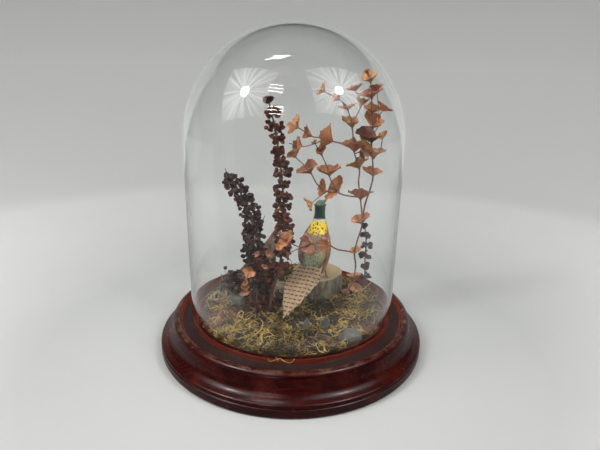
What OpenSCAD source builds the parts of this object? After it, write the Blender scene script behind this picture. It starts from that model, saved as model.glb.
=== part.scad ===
// Glass display dome on a turned wooden base, with a small bird-and-dried-plant scene inside.
// Millimetres, +Z up. The origin is on the axis of the dome, at the underside of the felt.

/* [Glass dome] */
// Outside diameter of the glass
glass_d = 203.2; // [190:0.2:216]
// Height of the glass from its rim to the crown
glass_h = 276.4; // [260:0.2:290]
// Thickness of the glass wall
glass_t = 3; // [2.4:0.2:3.6]

/* [Turned base] */
// Largest diameter of the base, at its bottom band
base_d = 265; // [258:1:280]
// Diameter of the raised disc that locates the glass
disc_d = 194; // [188:1:195]
// Height of the raised disc above the underside of the felt
disc_top = 31.5; // [30:0.5:36]
// Depth of the rebate that the glass stands in, below the disc
rebate_depth = 3; // [2:0.5:4]
// Diameter of the outer wall of the rebate
rebate_d = 223; // [220:1:226]
// Height of the rounded lip above the disc
lip_rise = 1; // [0.5:0.5:3]
// Radius of the rounded lip
lip_r = 4.2; // [3:0.2:5]
// Height of the square band round the bottom edge
band_h = 9; // [6:0.5:12]
// Diameter of the felt under the base
felt_d = 244; // [200:1:250]
// Thickness of the felt
felt_t = 1; // [0.8:0.2:2]

/* [Scene] */
// Radius of the moss bed on the disc
bed_r = 92.5; // [86:0.5:93]
// Mean thickness of the moss bed
bed_t = 3.5; // [3:0.5:5]
// Radius of the sawn log that the bird stands on
stump_r = 27; // [24:1:28]
// Height of the top of the sawn log
stump_top = 58; // [52:1:62]
// Radius of the thickest dried stem
stem_r = 0.9; // [0.8:0.1:1.1]
// Size of one dock seed
seed_size = 4.2; // [3.6:0.2:4.6]
// Growth of the eucalyptus leaves against the sizes in their stems' paths
leaf_growth = 1.2; // [0.8:0.05:1.3]

/* [Hidden] */
$fn = 96;

glass_r = glass_d / 2;
rebate_floor = disc_top - rebate_depth;
// The rim of the glass hangs this far above the rebate floor, so that the two never overlap
rim_gap = 0.1;
rim_z = rebate_floor + rim_gap;
// Centre of the half-sphere that closes the glass
crown_z = rim_z + glass_h - glass_r;
rebate_r = rebate_d / 2;
base_r = base_d / 2;
bed_z = disc_top;
ground_z = bed_z + bed_t;

// ---- shapes used by more than one piece ----

// Points on an arc in the R-Z plane about c, from angle a to angle b
function arc(c, r, a, b, n = 8) =
    [for (i = [0:n]) let(t = a + (b - a) * i / n) [c[0] + r * cos(t), c[1] + r * sin(t)]];

// Bands of quads between rings of n points, with a flat face at each end
function band_faces(rings, n) = concat(
    [[for (i = [n - 1:-1:0]) i]],
    [for (k = [0:rings - 2], i = [0:n - 1])
        [k * n + i, k * n + (i + 1) % n, (k + 1) * n + (i + 1) % n, (k + 1) * n + i]],
    [[for (i = [0:n - 1]) (rings - 1) * n + i]]
);

// Closed skin over oval sections, each [centre, half width, half depth], tilted by tilt about X
module loft(sections, tilt = 0, n = 14) {
    points = [for (s = sections, i = [0:n - 1])
        let(a = 360 * i / n, u = s[1] * cos(a), v = s[2] * sin(a))
        s[0] + [u, v * cos(tilt), v * sin(tilt)]];
    polyhedron(points, [for (f = band_faces(len(sections), n)) [for (i = [len(f) - 1:-1:0]) f[i]]]);
}

// A rough lump that stands on the plane z, rounded over, with a wavy outline
module lump(centre, rx, ry, h, turn = 0, waves = 3, n = 14) {
    levels = [[1, -0.5], [1.04, 0], [0.92, 0.55], [0.6, 0.88], [0.22, 1]];
    points = [for (l = levels, i = [0:n - 1])
        let(a = 360 * i / n, w = 1 + 0.09 * sin(waves * a + turn) + 0.05 * sin(5 * a + 2 * turn))
        [rx * l[0] * w * cos(a), ry * l[0] * w * sin(a), h * max(l[1], -1 / h)]];
    translate(centre) rotate([0, 0, turn])
        polyhedron(points, [for (f = band_faces(len(levels), n)) [for (i = [len(f) - 1:-1:0]) f[i]]]);
}

// A chain of straight pieces through the points of a path, thinning from r0 to r1
module stem(path, r0, r1) {
    last = len(path) - 1;
    for (i = [0:last - 1])
        hull()
            for (k = [i, i + 1])
                translate([path[k][0], path[k][1], path[k][2]])
                    sphere(r0 + (r1 - r0) * k / last, $fn = 6);
}

// One rounded leaf blade that starts at the origin and points along +X
module blade(size) {
    thick = 0.7;
    linear_extrude(thick, center = true)
        scale(size)
            polygon([[-0.08, 0.1], [0.3, 0.45], [0.72, 0.5], [1, 0.26], [0.97, -0.2], [0.68, -0.48], [0.28, -0.42],
                [-0.08, -0.1]]);
}

// Two blades opposite each other, joined round the stem, lifted and leaning the same way
module leaf_pair(at, size, turn, lift = 20) {
    lean = 42;
    translate(at)
        rotate([0, 0, turn])
            for (side = [0, 1])
                mirror([side, 0, 0]) rotate([lean, -lift, 0]) blade(size * leaf_growth);
}

// A dried eucalyptus stem: path holds [x, y, z, leaf size], with 0 where there is no leaf
module sprig(path, r0, r1, turn = 20) {
    stem(path, r0, r1);
    for (i = [0:len(path) - 1])
        if (path[i][3] > 0)
            leaf_pair([path[i][0], path[i][1], path[i][2]], path[i][3], turn + 47 * i);
}

// The point a part t of the way along a path, where t runs from 0 to 1
function along(path, t) =
    let(k = min(floor(t * (len(path) - 1)), len(path) - 2), f = t * (len(path) - 1) - k)
    path[k] * (1 - f) + path[k + 1] * f;

// A dock stalk: a stem with whorls of stalked seeds from t0 to the tip, spread out to radius r
module dock_stalk(path, whorls, r, t0, seeds, seed_no) {
    shake = rands(-1, 1, whorls * seeds * 3, seed_no);
    stem(path, stem_r * 1.4, stem_r * 0.7);
    for (w = [0:whorls - 1], s = [0:seeds - 1]) {
        i = (w * seeds + s) * 3;
        t = min(1, t0 + (1 - t0) * (w + 0.25 * shake[i]) / (whorls - 1));
        reach = r * (w == whorls - 1 ? 0.3 : 0.7 + 0.2 * shake[i + 1]);
        a = 360 * s / seeds + 50 * w + 18 * shake[i + 2];
        translate(along(path, t))
            hull() {
                cube(0.8, center = true);
                translate([reach * cos(a), reach * sin(a), 1.5 * shake[i + 2]])
                    rotate([40 * shake[i], 40 * shake[i + 1], a]) cube(seed_size, center = true);
            }
    }
}

// ---- the turned base ----

module felt_pad() {
    color("darkolivegreen")
        cylinder(d = felt_d, h = felt_t, $fn = 180);
}

module base_moulding() {
    lip_c = [rebate_r + lip_r, disc_top + lip_rise - lip_r];
    cove_r = 11;
    nose_r = 3;
    nose_c = [base_r - nose_r, band_h + 1];
    foot_round = 1;
    profile = concat(
        [[0, felt_t]],
        arc([base_r - foot_round, felt_t + foot_round], foot_round, -90, 0, 4),
        [[base_r, band_h - 0.8], [base_r - 0.9, band_h - 0.2]],
        arc(nose_c, nose_r, 0, 75, 5),
        arc([base_r + 0.3, band_h + 3.9 + cove_r], cove_r, 250, 186, 8),
        arc([lip_c[0] - 1.4, lip_c[1] - 3.2], 5.6, 12, 58, 5),
        arc(lip_c, lip_r, 20, 180, 12),
        [[rebate_r, rebate_floor], [disc_d / 2, rebate_floor], [disc_d / 2, disc_top - 0.5],
            [disc_d / 2 - 0.5, disc_top], [0, disc_top]]
    );
    color([0.28, 0.07, 0.06])
        rotate_extrude($fn = 180) polygon(profile);
}

// ---- the glass ----

module glass_profile() {
    wall_z = rim_z + glass_t / 2;
    intersection() {
        difference() {
            translate([0, crown_z]) circle(glass_r);
            translate([0, crown_z]) circle(glass_r - glass_t);
        }
        translate([0, crown_z]) square(glass_r + 1);
    }
    translate([glass_r - glass_t, wall_z]) square([glass_t, crown_z - wall_z]);
    translate([glass_r - glass_t / 2, wall_z]) circle(glass_t / 2, $fn = 48);
}

module glass_dome() {
    color([0.85, 0.9, 0.92, 0.3])
        rotate_extrude($fn = 180) glass_profile();
}

// ---- the ground ----

// Height of the moss bed above the disc at polar position r, a
function bed_height(r, a) =
    let(q = r / bed_r)
    bed_t + (1 - q * q) * (1.1 * sin(3 * a + 20) + 0.8 * cos(5 * a)) * q - 1.2 * pow(q, 6);

module moss_bed() {
    rings = 7;
    n = 36;
    top = [for (k = [1:rings], i = [0:n - 1])
        let(a = 360 * i / n, r = bed_r * k / rings * (1 + 0.012 * sin(7 * a)))
        [r * cos(a), r * sin(a), bed_z + bed_height(bed_r * k / rings, a)]];
    foot = [for (i = [0:n - 1]) [bed_r * cos(360 * i / n), bed_r * sin(360 * i / n), bed_z]];
    color([0.33, 0.29, 0.2])
        polyhedron(concat([[0, 0, bed_z + bed_t]], top, foot), concat(
            [for (i = [0:n - 1]) [0, 1 + (i + 1) % n, 1 + i]],
            [for (k = [0:rings - 1], i = [0:n - 1])
                let(p = 1 + k * n)
                [p + i, p + (i + 1) % n, p + n + (i + 1) % n, p + n + i]],
            [[for (i = [0:n - 1]) 1 + rings * n + i]]
        ));
}

module moss_front() {
    color([0.68, 0.56, 0.27]) lump([-10, -72, ground_z - 1], 26, 14, 5, 8);
}

module moss_front_left() {
    color([0.68, 0.56, 0.27]) lump([-50, -58, ground_z - 1], 17, 13, 6, 40);
}

module moss_right() {
    color([0.7, 0.58, 0.28]) lump([72, -12, ground_z - 1], 12, 24, 8, -12, 4);
}

module moss_back() {
    color([0.55, 0.48, 0.26]) lump([10, 74, ground_z - 1], 34, 9, 6, 4, 4);
}

module stump() {
    outline = [for (i = [0:19])
        let(a = 18 * i, r = stump_r * (1 + 0.03 * sin(3 * a + 40) + 0.015 * cos(6 * a)))
        [r * cos(a), r * sin(a)]];
    color([0.62, 0.52, 0.4])
        translate([28, 34, ground_z - 2])
            linear_extrude(stump_top - ground_z + 2) polygon(outline);
}

module split_log() {
    // a short split branch that lies behind the tail
    color([0.42, 0.38, 0.29])
        translate([-24, 24, ground_z - 2])
            rotate([0, 0, -14])
                rotate([0, 90, 0])
                    linear_extrude(25)
                        polygon([[0, -9], [-8, -9.5], [-14, -6], [-17, 0], [-13, 7], [-6, 9], [0, 8.5]]);
}

module bark_slab() {
    // a weathered slab that leans up from the left, behind the dock
    color([0.62, 0.52, 0.43])
        hull() {
            translate([-84, 27, ground_z]) sphere(3, $fn = 8);
            translate([-62, 31, 51]) sphere(2.6, $fn = 8);
            translate([-28, 38, 90]) sphere(2.2, $fn = 8);
            translate([-18, 40, 103]) sphere(1.8, $fn = 8);
            translate([-20, 40, ground_z]) sphere(3, $fn = 8);
        }
}

module gravel_mound() {
    color([0.6, 0.52, 0.42]) lump([-74, 12, ground_z - 1], 14, 12, 8, 20, 4);
}

module stone_left() {
    color([0.5, 0.48, 0.42]) lump([-58, 2, ground_z - 1], 11, 7, 7, -15, 2, 12);
}

module stone_right() {
    color([0.46, 0.44, 0.4]) lump([54, -64, ground_z - 1], 10, 8, 7, 30, 2, 12);
}

module bark_chip(at, size, turn, lean) {
    translate(at)
        rotate([lean, 0, turn])
            linear_extrude(size[1], center = true)
                polygon([[-size[0] / 2, -size[2] / 2], [size[0] / 2, -size[2] / 2 + 1], [size[0] / 2 - 1, size[2] / 4],
                    [1, size[2] / 2], [-size[0] / 2 + 1, size[2] / 3]]);
}

module bark_chip_left() {
    color([0.43, 0.4, 0.37]) bark_chip([13, -56, ground_z + 2], [14, 4, 24], 4, 6);
}

module bark_chip_right() {
    color([0.45, 0.42, 0.39]) bark_chip([31.5, -50, ground_z + 3], [10, 4, 24], -6, 12);
}

// ---- the bird ----

module pheasant_body() {
    color([0.5, 0.5, 0.38])
        loft([
            [[19, 3, 72], 7, 4], [[20, 5, 76], 11, 8], [[21, 8, 82], 14, 12], [[22, 12, 90], 15.5, 14],
            [[23.5, 16, 98], 14.5, 14], [[25, 20, 106], 12.5, 12], [[26.5, 23, 113], 9.5, 9.5], [[27.5, 25, 119], 6.8, 7]
        ], tilt = -24);
}

module pheasant_head() {
    color([0.1, 0.3, 0.18])
        loft([
            [[27.6, 25.2, 119.6], 6.4, 6.4], [[28, 26, 124], 5.7, 6], [[28, 26.5, 129], 5.4, 5.8],
            [[28, 27.5, 133], 5.6, 6.6], [[28.2, 28.5, 136.5], 4.8, 6], [[28.4, 29, 139], 2.6, 3.4]
        ], tilt = -10, n = 12);
}

module pheasant_beak() {
    color([0.3, 0.26, 0.2])
        hull() {
            translate([31.5, 32, 136]) sphere(1.6, $fn = 8);
            translate([36, 36, 138]) sphere(0.6, $fn = 8);
        }
}

module pheasant_eyes() {
    color("black")
        for (side = [-1, 1])
            translate([28.1 + side * 5.9, 29, 133.8]) sphere(0.9, $fn = 16);
}

module pheasant_wing_left() {
    color([0.42, 0.3, 0.22])
        hull() {
            translate([14.5, 18, 110]) sphere(3, $fn = 10);
            translate([7.5, 10, 96]) sphere(3.6, $fn = 10);
            translate([7, 2, 82]) sphere(2.4, $fn = 10);
        }
}

module pheasant_wing_right() {
    color([0.48, 0.3, 0.24])
        hull() {
            translate([36.5, 19, 108]) sphere(3, $fn = 10);
            translate([37.5, 10, 94]) sphere(3.6, $fn = 10);
            translate([34, 1, 79]) sphere(2.2, $fn = 10);
            translate([29.5, -3.5, 70]) sphere(1, $fn = 10);
        }
}

module pheasant_tail() {
    // a flat board that steps in along its right edge, from the rump down to the moss
    tail_l = 65;
    color([0.68, 0.52, 0.36])
        translate([18.5, -0.5, 77])
            rotate([0, 0, -114]) rotate([0, 29, 0])
                linear_extrude(1.8)
                    polygon([[0, -10.5], [12, -13.5], [26, -14.5], [40, -13], [54, -9], [tail_l, -4], [tail_l, 2],
                        [56, 7], [44, 7], [44, 10.5], [31, 10.5], [31, 13], [18, 14], [8, 12.5], [0, 10.5]]);
}

module pheasant_leg(hip, foot) {
    toe_l = 7;
    color([0.45, 0.36, 0.24]) {
        hull() {
            translate(hip) sphere(0.9, $fn = 8);
            translate(foot) sphere(0.8, $fn = 8);
        }
        for (turn = [200, 255, 310, 75])
            hull() {
                translate(foot) sphere(0.7, $fn = 8);
                translate(foot + toe_l * [cos(turn), sin(turn), 0]) sphere(0.5, $fn = 8);
            }
    }
}

module pheasant_leg_left() {
    pheasant_leg([17, 17, 76], [15, 20, stump_top + 0.8]);
}

module pheasant_leg_right() {
    pheasant_leg([33, 16, 77], [36, 16, stump_top + 0.8]);
}

// ---- the dried plants ----

module dock_stalk_tall() {
    path = [[-24, -24, 33], [-16, -21, 70], [-9, -18, 106], [-9, -14, 132], [-10, -10, 158], [-13, -7, 184],
        [-17, -4, 210], [-24, 0, 240]];
    color([0.24, 0.1, 0.08]) dock_stalk(path, 15, 9.5, 0.24, 6, 4);
}

module dock_stalk_left() {
    path = [[-36, -25, 33], [-34, -21, 60], [-37, -16, 88], [-38, -12, 110], [-40, -8, 130], [-50, -4, 151],
        [-61, -2, 169]];
    color([0.25, 0.17, 0.17]) dock_stalk(path, 11, 10, 0.3, 6, 9);
}

module dock_stalk_back() {
    path = [[82, 30, 34], [81, 31, 52], [80, 32, 74], [80, 32, 92], [77, 31, 112]];
    color([0.22, 0.15, 0.13]) dock_stalk(path, 6, 5.5, 0.3, 4, 2);
}

module dock_tuft() {
    // broken stems that stand between the two tall stalks
    color([0.27, 0.16, 0.12])
        for (i = [0:8])
            hull() {
                translate([-31 + 1.8 * i, -12 + 5 * sin(100 * i), ground_z - 1.5]) sphere(1.6, $fn = 8);
                translate([-37 + 3.1 * i, -10 + 7 * sin(130 * i), 70 + 14 * cos(75 * i)]) sphere(1.3, $fn = 8);
            }
}

module eucalyptus_sprig_main() {
    path = [[49, 6, 34, 0], [58, 7, 46, 0], [64, 8, 58, 9], [66, 8, 74, 0], [64, 8, 88, 8], [66, 8, 102, 0],
        [70, 8, 120, 9], [67, 8, 145, 10], [64, 8, 162, 0], [64, 8, 176, 9], [58, 8, 194, 11], [55, 8, 214, 10],
        [50, 8, 231, 8], [42, 8, 240, 7], [28, 8, 247, 7]];
    color([0.7, 0.45, 0.31]) sprig(path, stem_r, 0.6);
}

module eucalyptus_sprig_top() {
    path = [[70, 8, 121, 0], [72, 9, 140, 0], [76, 8, 156, 0], [78, 8, 170, 8], [76, 7, 187, 11], [74, 6, 202, 9],
        [74, 5, 216, 12], [72, 4, 232, 8], [71, 3, 244, 8], [69, 2, 257, 6], [66, 2, 266, 3]];
    twig = [[77, 7, 186, 0], [83, 6, 195, 0], [84, 5, 205, 7]];
    color([0.7, 0.45, 0.31]) {
        sprig(path, stem_r, 0.5);
        sprig(twig, 0.6, 0.5, -30);
    }
}

module eucalyptus_branch_lower() {
    path = [[66, 8, 148, 0], [55, 7, 149, 0], [45, 7, 152, 12], [39, 8, 160, 0], [35, 9, 169, 11], [31, 9, 180, 0],
        [27, 9, 188, 8], [21, 9, 198, 5]];
    twig = [[43, 7, 153, 0], [32, 5, 154, 9], [23, 4, 161, 0], [17, 4, 172, 11], [9, 5, 180, 0], [2, 6, 186, 8]];
    color([0.68, 0.43, 0.3]) {
        sprig(path, 0.8, 0.5, 10);
        sprig(twig, 0.7, 0.5, 70);
    }
}

module eucalyptus_branch_upper() {
    path = [[57, 8, 196, 0], [46, 7, 200, 0], [37, 6, 203, 12], [27, 6, 205, 0], [18, 6, 207, 9], [11, 6, 210, 0],
        [4, 6, 214, 9]];
    twig = [[26, 6, 203, 0], [20, 4, 200, 0], [8, 3, 197, 8], [-5, 3, 200, 0]];
    color([0.7, 0.45, 0.31]) {
        sprig(path, 0.8, 0.5, 0);
        sprig(twig, 0.6, 0.4, 40);
    }
}

module eucalyptus_branch_low() {
    path = [[64, 8, 89, 0], [54, -3, 95, 0], [44, -10, 99, 0], [36, -15, 105, 10], [27, -17, 107, 0],
        [19, -18, 108, 12], [9, -22, 105, 0], [2, -27, 109, 0], [-5, -32, 114, 10]];
    color([0.68, 0.43, 0.3]) sprig(path, 0.8, 0.5, 55);
}

module leaf_litter() {
    // dead leaves on the ground: two by the left stones and two at the foot of the right sprig
    color([0.72, 0.47, 0.32]) {
        translate([-52, 24, ground_z + 7]) rotate([70, 10, 20]) blade(15);
        translate([-50, 12, ground_z + 6]) rotate([80, -20, 0]) blade(11);
        translate([66, 22, ground_z + 7]) rotate([60, 12, -30]) blade(17);
        translate([60, 12, ground_z + 5]) rotate([75, -30, 200]) blade(10);
    }
}

module red_sprig() {
    path = [[-66, -60, 33], [-65, -56, 40], [-66, -52, 47], [-65, -48, 53]];
    color([0.45, 0.22, 0.2]) stem(path, 0.9, 0.5);
}

module twig_left() {
    path = [[-74, 20, 38], [-75, 21, 48], [-77, 22, 57]];
    color([0.4, 0.33, 0.26]) stem(path, 1.1, 0.8);
}

felt_pad();
base_moulding();
glass_dome();
moss_bed();
stump();
split_log();
bark_slab();
gravel_mound();
stone_left();
stone_right();
bark_chip_left();
bark_chip_right();
pheasant_body();
pheasant_head();
pheasant_beak();
pheasant_eyes();
pheasant_wing_left();
pheasant_wing_right();
pheasant_tail();
pheasant_leg_left();
pheasant_leg_right();
dock_stalk_tall();
dock_stalk_left();
dock_stalk_back();
dock_tuft();
eucalyptus_sprig_main();
eucalyptus_sprig_top();
eucalyptus_branch_upper();
eucalyptus_branch_lower();
eucalyptus_branch_low();
moss_front();
moss_front_left();
moss_right();
moss_back();
leaf_litter();
red_sprig();
twig_left();
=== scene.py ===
"""Looks of the glass display dome: turned base, blown glass, and the bird, stems and moss under it."""
import math
import random

import bmesh
import bpy
from mathutils import Matrix, Quaternion, Vector, noise


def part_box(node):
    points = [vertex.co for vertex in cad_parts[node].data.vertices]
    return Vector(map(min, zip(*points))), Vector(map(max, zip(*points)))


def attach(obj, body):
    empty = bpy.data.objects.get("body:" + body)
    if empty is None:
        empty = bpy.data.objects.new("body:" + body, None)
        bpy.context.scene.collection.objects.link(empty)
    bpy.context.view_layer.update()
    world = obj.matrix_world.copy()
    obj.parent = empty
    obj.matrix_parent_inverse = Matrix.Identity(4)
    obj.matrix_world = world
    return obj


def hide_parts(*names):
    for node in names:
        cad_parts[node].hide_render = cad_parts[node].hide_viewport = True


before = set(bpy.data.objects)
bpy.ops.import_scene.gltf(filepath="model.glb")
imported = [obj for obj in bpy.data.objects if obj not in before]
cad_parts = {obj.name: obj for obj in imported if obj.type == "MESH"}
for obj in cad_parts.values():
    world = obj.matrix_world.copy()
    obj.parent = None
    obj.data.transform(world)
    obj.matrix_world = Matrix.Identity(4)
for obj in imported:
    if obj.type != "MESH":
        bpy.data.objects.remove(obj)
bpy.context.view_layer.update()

MM = 0.001
UP = Vector((0, 0, 1))
BASE = "base"
DOME = "dome"

# ---- sizes, from the frame ----
glass_low, glass_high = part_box("glass_dome")
base_low, base_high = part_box("base_moulding")

GLASS_R = glass_high[0]
GLASS_TOP = glass_high[2]
RIM_Z = glass_low[2]
GLASS_WALL = 3 * MM
CROWN_Z = GLASS_TOP - GLASS_R
BASE_R = base_high[0]
BASE_FOOT = base_low[2]
STUMP_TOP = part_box("stump")[1][2]
DISC_TOP = 31.5 * MM
DISC_R = 97 * MM
REBATE_FLOOR = DISC_TOP - 3 * MM
REBATE_R = 111.5 * MM
LIP_R = 4.2 * MM
LIP_RISE = 1 * MM
BAND_H = 9 * MM
BED_R = 92.5 * MM
GROUND_Z = DISC_TOP + 3.5 * MM
FELT_R = 122 * MM
FELT_T = 1 * MM
LEAF_T = 0.3 * MM


def mm(x, y, z):
    """A place or a distance given in millimetres."""
    return Vector((x, y, z)) * MM


def polar(r, degrees):
    """A level step of length r at a bearing."""
    a = math.radians(degrees)
    return Vector((r * math.cos(a), r * math.sin(a), 0))


def rotated(degrees, axis):
    return Matrix.Rotation(math.radians(degrees), 4, axis)


STUMP_MIDDLE = mm(28, 34, 0)
STUMP_HEART = STUMP_MIDDLE + mm(0, -3, 0)
EYES_MIDDLE = (28.1, 29, 133.8)


# ---- node building ----
class Nodes:
    """A node tree, with short calls that add a node and give back its output."""

    def __init__(self, tree):
        self.tree = tree
        self.place = None

    def link(self, value, socket):
        """Puts a node's output, a number or a colour into a socket."""
        if isinstance(value, bpy.types.NodeSocket):
            self.tree.links.new(value, socket)
        elif isinstance(value, (tuple, list)) and socket.type == "RGBA" and len(value) == 3:
            socket.default_value = (*value, 1.0)
        else:
            socket.default_value = value

    def node(self, kind, **inputs):
        made = self.tree.nodes.new("ShaderNode" + kind)
        for name, value in inputs.items():
            self.link(value, made.inputs[name.replace("_", " ")])
        return made

    def scaled(self, scale, place=None, turn=(0, 0, 0), shift=(0, 0, 0)):
        """A place, turned and shifted and with its scale changed, so that a pattern stretches."""
        made = self.node("Mapping", Vector=place or self.place, Location=shift, Rotation=turn, Scale=scale)
        return made.outputs[0]

    def noise(self, scale, detail=5.0, rough=0.55, place=None, twist=0.0):
        made = self.node("TexNoise", Vector=place or self.place, Scale=scale, Detail=detail, Roughness=rough,
                         Distortion=twist)
        return made.outputs["Fac"]

    def cells(self, scale, place=None, feature="F1", spread=1.0, out="Distance"):
        made = self.node("TexVoronoi", Vector=place or self.place, Scale=scale, Randomness=spread)
        made.feature = feature
        return made.outputs[out]

    def ramp(self, fac, *stops):
        """Blends through stops of (place, colour or grey)."""
        made = self.node("ValToRGB", Fac=fac)
        elements = made.color_ramp.elements
        while len(elements) < len(stops):
            elements.new(0.5)
        for element, (at, colour) in zip(elements, stops):
            element.position = at
            element.color = (*colour, 1) if isinstance(colour, tuple) else (colour, colour, colour, 1)
        return made.outputs["Color"]

    def mix(self, fac, a, b, way="MIX"):
        made = self.node("Mix")
        made.data_type = "RGBA"
        made.blend_type = way
        self.link(fac, made.inputs[0])
        self.link(a, made.inputs[6])
        self.link(b, made.inputs[7])
        return made.outputs[2]

    def calc(self, way, *values):
        made = self.node("Math")
        made.operation = way
        for value, socket in zip(values, made.inputs):
            self.link(value, socket)
        return made.outputs[0]

    def times(self, a, b):
        return self.calc("MULTIPLY", a, b)

    def plus(self, a, b):
        return self.calc("ADD", a, b)

    def minus(self, a, b):
        return self.calc("SUBTRACT", a, b)

    def vector(self, way, *values):
        made = self.node("VectorMath")
        made.operation = way
        for value, socket in zip(values, made.inputs):
            self.link(value, socket)
        return made.outputs["Value" if way == "LENGTH" else "Vector"]

    def fade(self, value, start, end, low=0, high=1):
        """Runs from low at start to high at end, and holds on either side."""
        made = self.node("MapRange", Value=value, From_Min=start, From_Max=end, To_Min=low, To_Max=high)
        return made.outputs[0]

    def band(self, value, low, high, soft):
        """1 between low and high, fading to 0 over soft outside them."""
        return self.times(self.fade(value, low - soft, low), self.fade(value, high, high + soft, 1, 0))

    def axes(self, place=None):
        """The X, Y and Z of a place."""
        return self.node("SeparateXYZ", Vector=place or self.place).outputs

    def radius(self):
        """Distance from the upright axis of the dome."""
        x, y, _ = self.axes()
        return self.across(x, y)

    def across(self, a, b):
        """The length of the step that goes a one way and b square to it."""
        return self.calc("SQRT", self.plus(self.times(a, a), self.times(b, b)))

    def attribute(self, name):
        made = self.node("Attribute")
        made.attribute_name = name
        return made.outputs["Fac"]


class Finish(Nodes):
    """One material: its shader, and patterns that stay put on the piece."""

    def __init__(self, name):
        self.material = bpy.data.materials.new(name)
        self.material.use_nodes = True
        super().__init__(self.material.node_tree)
        self.tree.nodes.clear()
        self.out = self.node("OutputMaterial")
        self.shader = self.node("BsdfPrincipled")
        self.link(self.shader.outputs[0], self.out.inputs["Surface"])
        self.place = self.node("TexCoord").outputs["Object"]

    def set(self, **inputs):
        for name, value in inputs.items():
            self.link(value, self.shader.inputs[name.replace("_", " ")])

    def bump(self, height, depth, strength=1.0, under=None):
        """Adds relief to the shader, on top of any that lies under it."""
        made = self.node("Bump", Height=height, Strength=strength, Distance=depth)
        if under is not None:
            self.link(under, made.inputs["Normal"])
        self.link(made.outputs[0], self.shader.inputs["Normal"])
        return made.outputs[0]


# ---- finishes ----
def mahogany():
    f = Finish("mahogany")
    grain = f.noise(1.0, 8, 0.62, f.scaled((26, 420, 260)), 0.4)
    streak = f.noise(1.0, 4, 0.5, f.scaled((9, 90, 60)))
    blotch = f.noise(34, 4, 0.6)
    wood = f.ramp(grain, (0.3, (0.009, 0.0007, 0.0009)), (0.52, (0.023, 0.0017, 0.0018)),
                  (0.75, (0.055, 0.005, 0.0035)))
    wood = f.mix(f.ramp(streak, (0.35, 0.0), (0.7, 0.6)), wood, (0.016, 0.002, 0.0018))
    wood = f.mix(f.ramp(blotch, (0.48, 0.0), (0.72, 0.4)), wood, (0.085, 0.013, 0.006))
    r = f.radius()
    z = f.axes()[2]
    # The recessed rebate floor gets a darker, mottled colour here and more roughness further down.
    floor = f.band(r, DISC_R + 1 * MM, REBATE_R - 0.8 * MM, 1.2 * MM)
    rebate_mottle = f.noise(240, 6, 0.7)
    rebate_floor_tone = f.ramp(rebate_mottle, (0.35, (0.005, 0.002, 0.0017)), (0.62, (0.016, 0.006, 0.0045)),
                  (0.8, (0.05, 0.026, 0.018)))
    wood = f.mix(f.times(floor, 0.85), wood, rebate_floor_tone)
    lip_top = DISC_TOP + LIP_RISE
    crest = f.band(r, REBATE_R + 3.2 * MM, REBATE_R + 6.6 * MM, 1.2 * MM)
    crest = f.times(crest, f.band(z, lip_top - 1.8 * MM, lip_top + 1 * MM, 0.8 * MM))
    rubbed = f.ramp(f.noise(75, 8, 0.75), (0.45, 0.0), (0.62, 1.0))
    wood = f.mix(f.times(crest, f.times(rubbed, 0.7)), wood, (0.1, 0.04, 0.022))
    inner = f.band(r, REBATE_R - 0.6 * MM, REBATE_R + 1.2 * MM, 0.5 * MM)
    wood = f.mix(f.times(inner, 0.7), wood, (0.13, 0.017, 0.005))
    step = f.band(r, DISC_R - 1.2 * MM, DISC_R + 0.6 * MM, 0.5 * MM)
    wood = f.mix(f.times(step, 0.6), wood, (0.1, 0.012, 0.005))
    band_edge = f.band(z, BAND_H - 1.4 * MM, BAND_H + 0.6 * MM, 0.5 * MM)
    chips = f.ramp(f.noise(60, 8, 0.75), (0.57, 0.0), (0.64, 1.0))
    wood = f.mix(f.times(band_edge, chips), wood, (0.2, 0.085, 0.04))
    scuff = f.ramp(f.noise(1.0, 6, 0.7, f.scaled((150, 520, 900))), (0.6, 0.0), (0.75, 1.0))
    f.set(Base_Color=wood)
    shine = f.plus(f.times(f.noise(70, 6, 0.7), 0.2), f.times(scuff, 0.16))
    shine = f.plus(shine, f.times(floor, 0.25))
    f.set(Roughness=f.plus(shine, 0.15))
    f.set(Coat_Weight=0.05, Coat_Roughness=0.08, IOR=1.24)
    dents = f.ramp(f.cells(120), (0.0, 0.0), (0.14, 1.0))
    pores = f.noise(1.0, 7, 0.7, f.scaled((90, 1500, 900)))
    first = f.bump(dents, 0.12 * MM, 0.5)
    f.bump(pores, 0.03 * MM, 0.8, first)
    return f.material


def felt():
    f = Finish("felt")
    f.set(Base_Color=f.ramp(f.noise(900, 6, 0.7), (0.3, (0.012, 0.02, 0.012)), (0.7, (0.035, 0.05, 0.03))))
    f.set(Roughness=0.95, Sheen_Weight=0.4, Sheen_Roughness=0.6)
    f.bump(f.noise(2600, 4, 0.8), 0.15 * MM)
    return f.material


def clear_glass():
    """Glass that bends light, but lets lamps straight through to what stands under it."""
    f = Finish("dome_glass")
    f.set(Base_Color=(0.985, 0.995, 0.99), Roughness=0.0, IOR=1.47, Transmission_Weight=1.0)
    shadow = f.node("LightPath").outputs["Is Shadow Ray"]
    through = f.node("BsdfTransparent", Color=(0.96, 0.975, 0.97))
    blend = f.node("MixShader")
    for value, socket in zip((shadow, f.shader.outputs[0], through.outputs[0]), blend.inputs):
        f.link(value, socket)
    f.link(blend.outputs[0], f.out.inputs["Surface"])
    return f.material


def moss_strands(name, dark, middle, light):
    f = Finish(name)
    tone = f.noise(60, 3, 0.6)
    fine = f.noise(700, 3, 0.6)
    colour = f.ramp(tone, (0.36, dark), (0.5, middle), (0.64, light))
    colour = f.mix(f.ramp(fine, (0.3, 0.0), (0.75, 0.5)), colour, dark, "MULTIPLY")
    f.set(Base_Color=colour, Roughness=0.75, Specular_IOR_Level=0.35)
    f.bump(f.noise(2500, 3, 0.6), 0.1 * MM)
    return f.material


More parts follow.
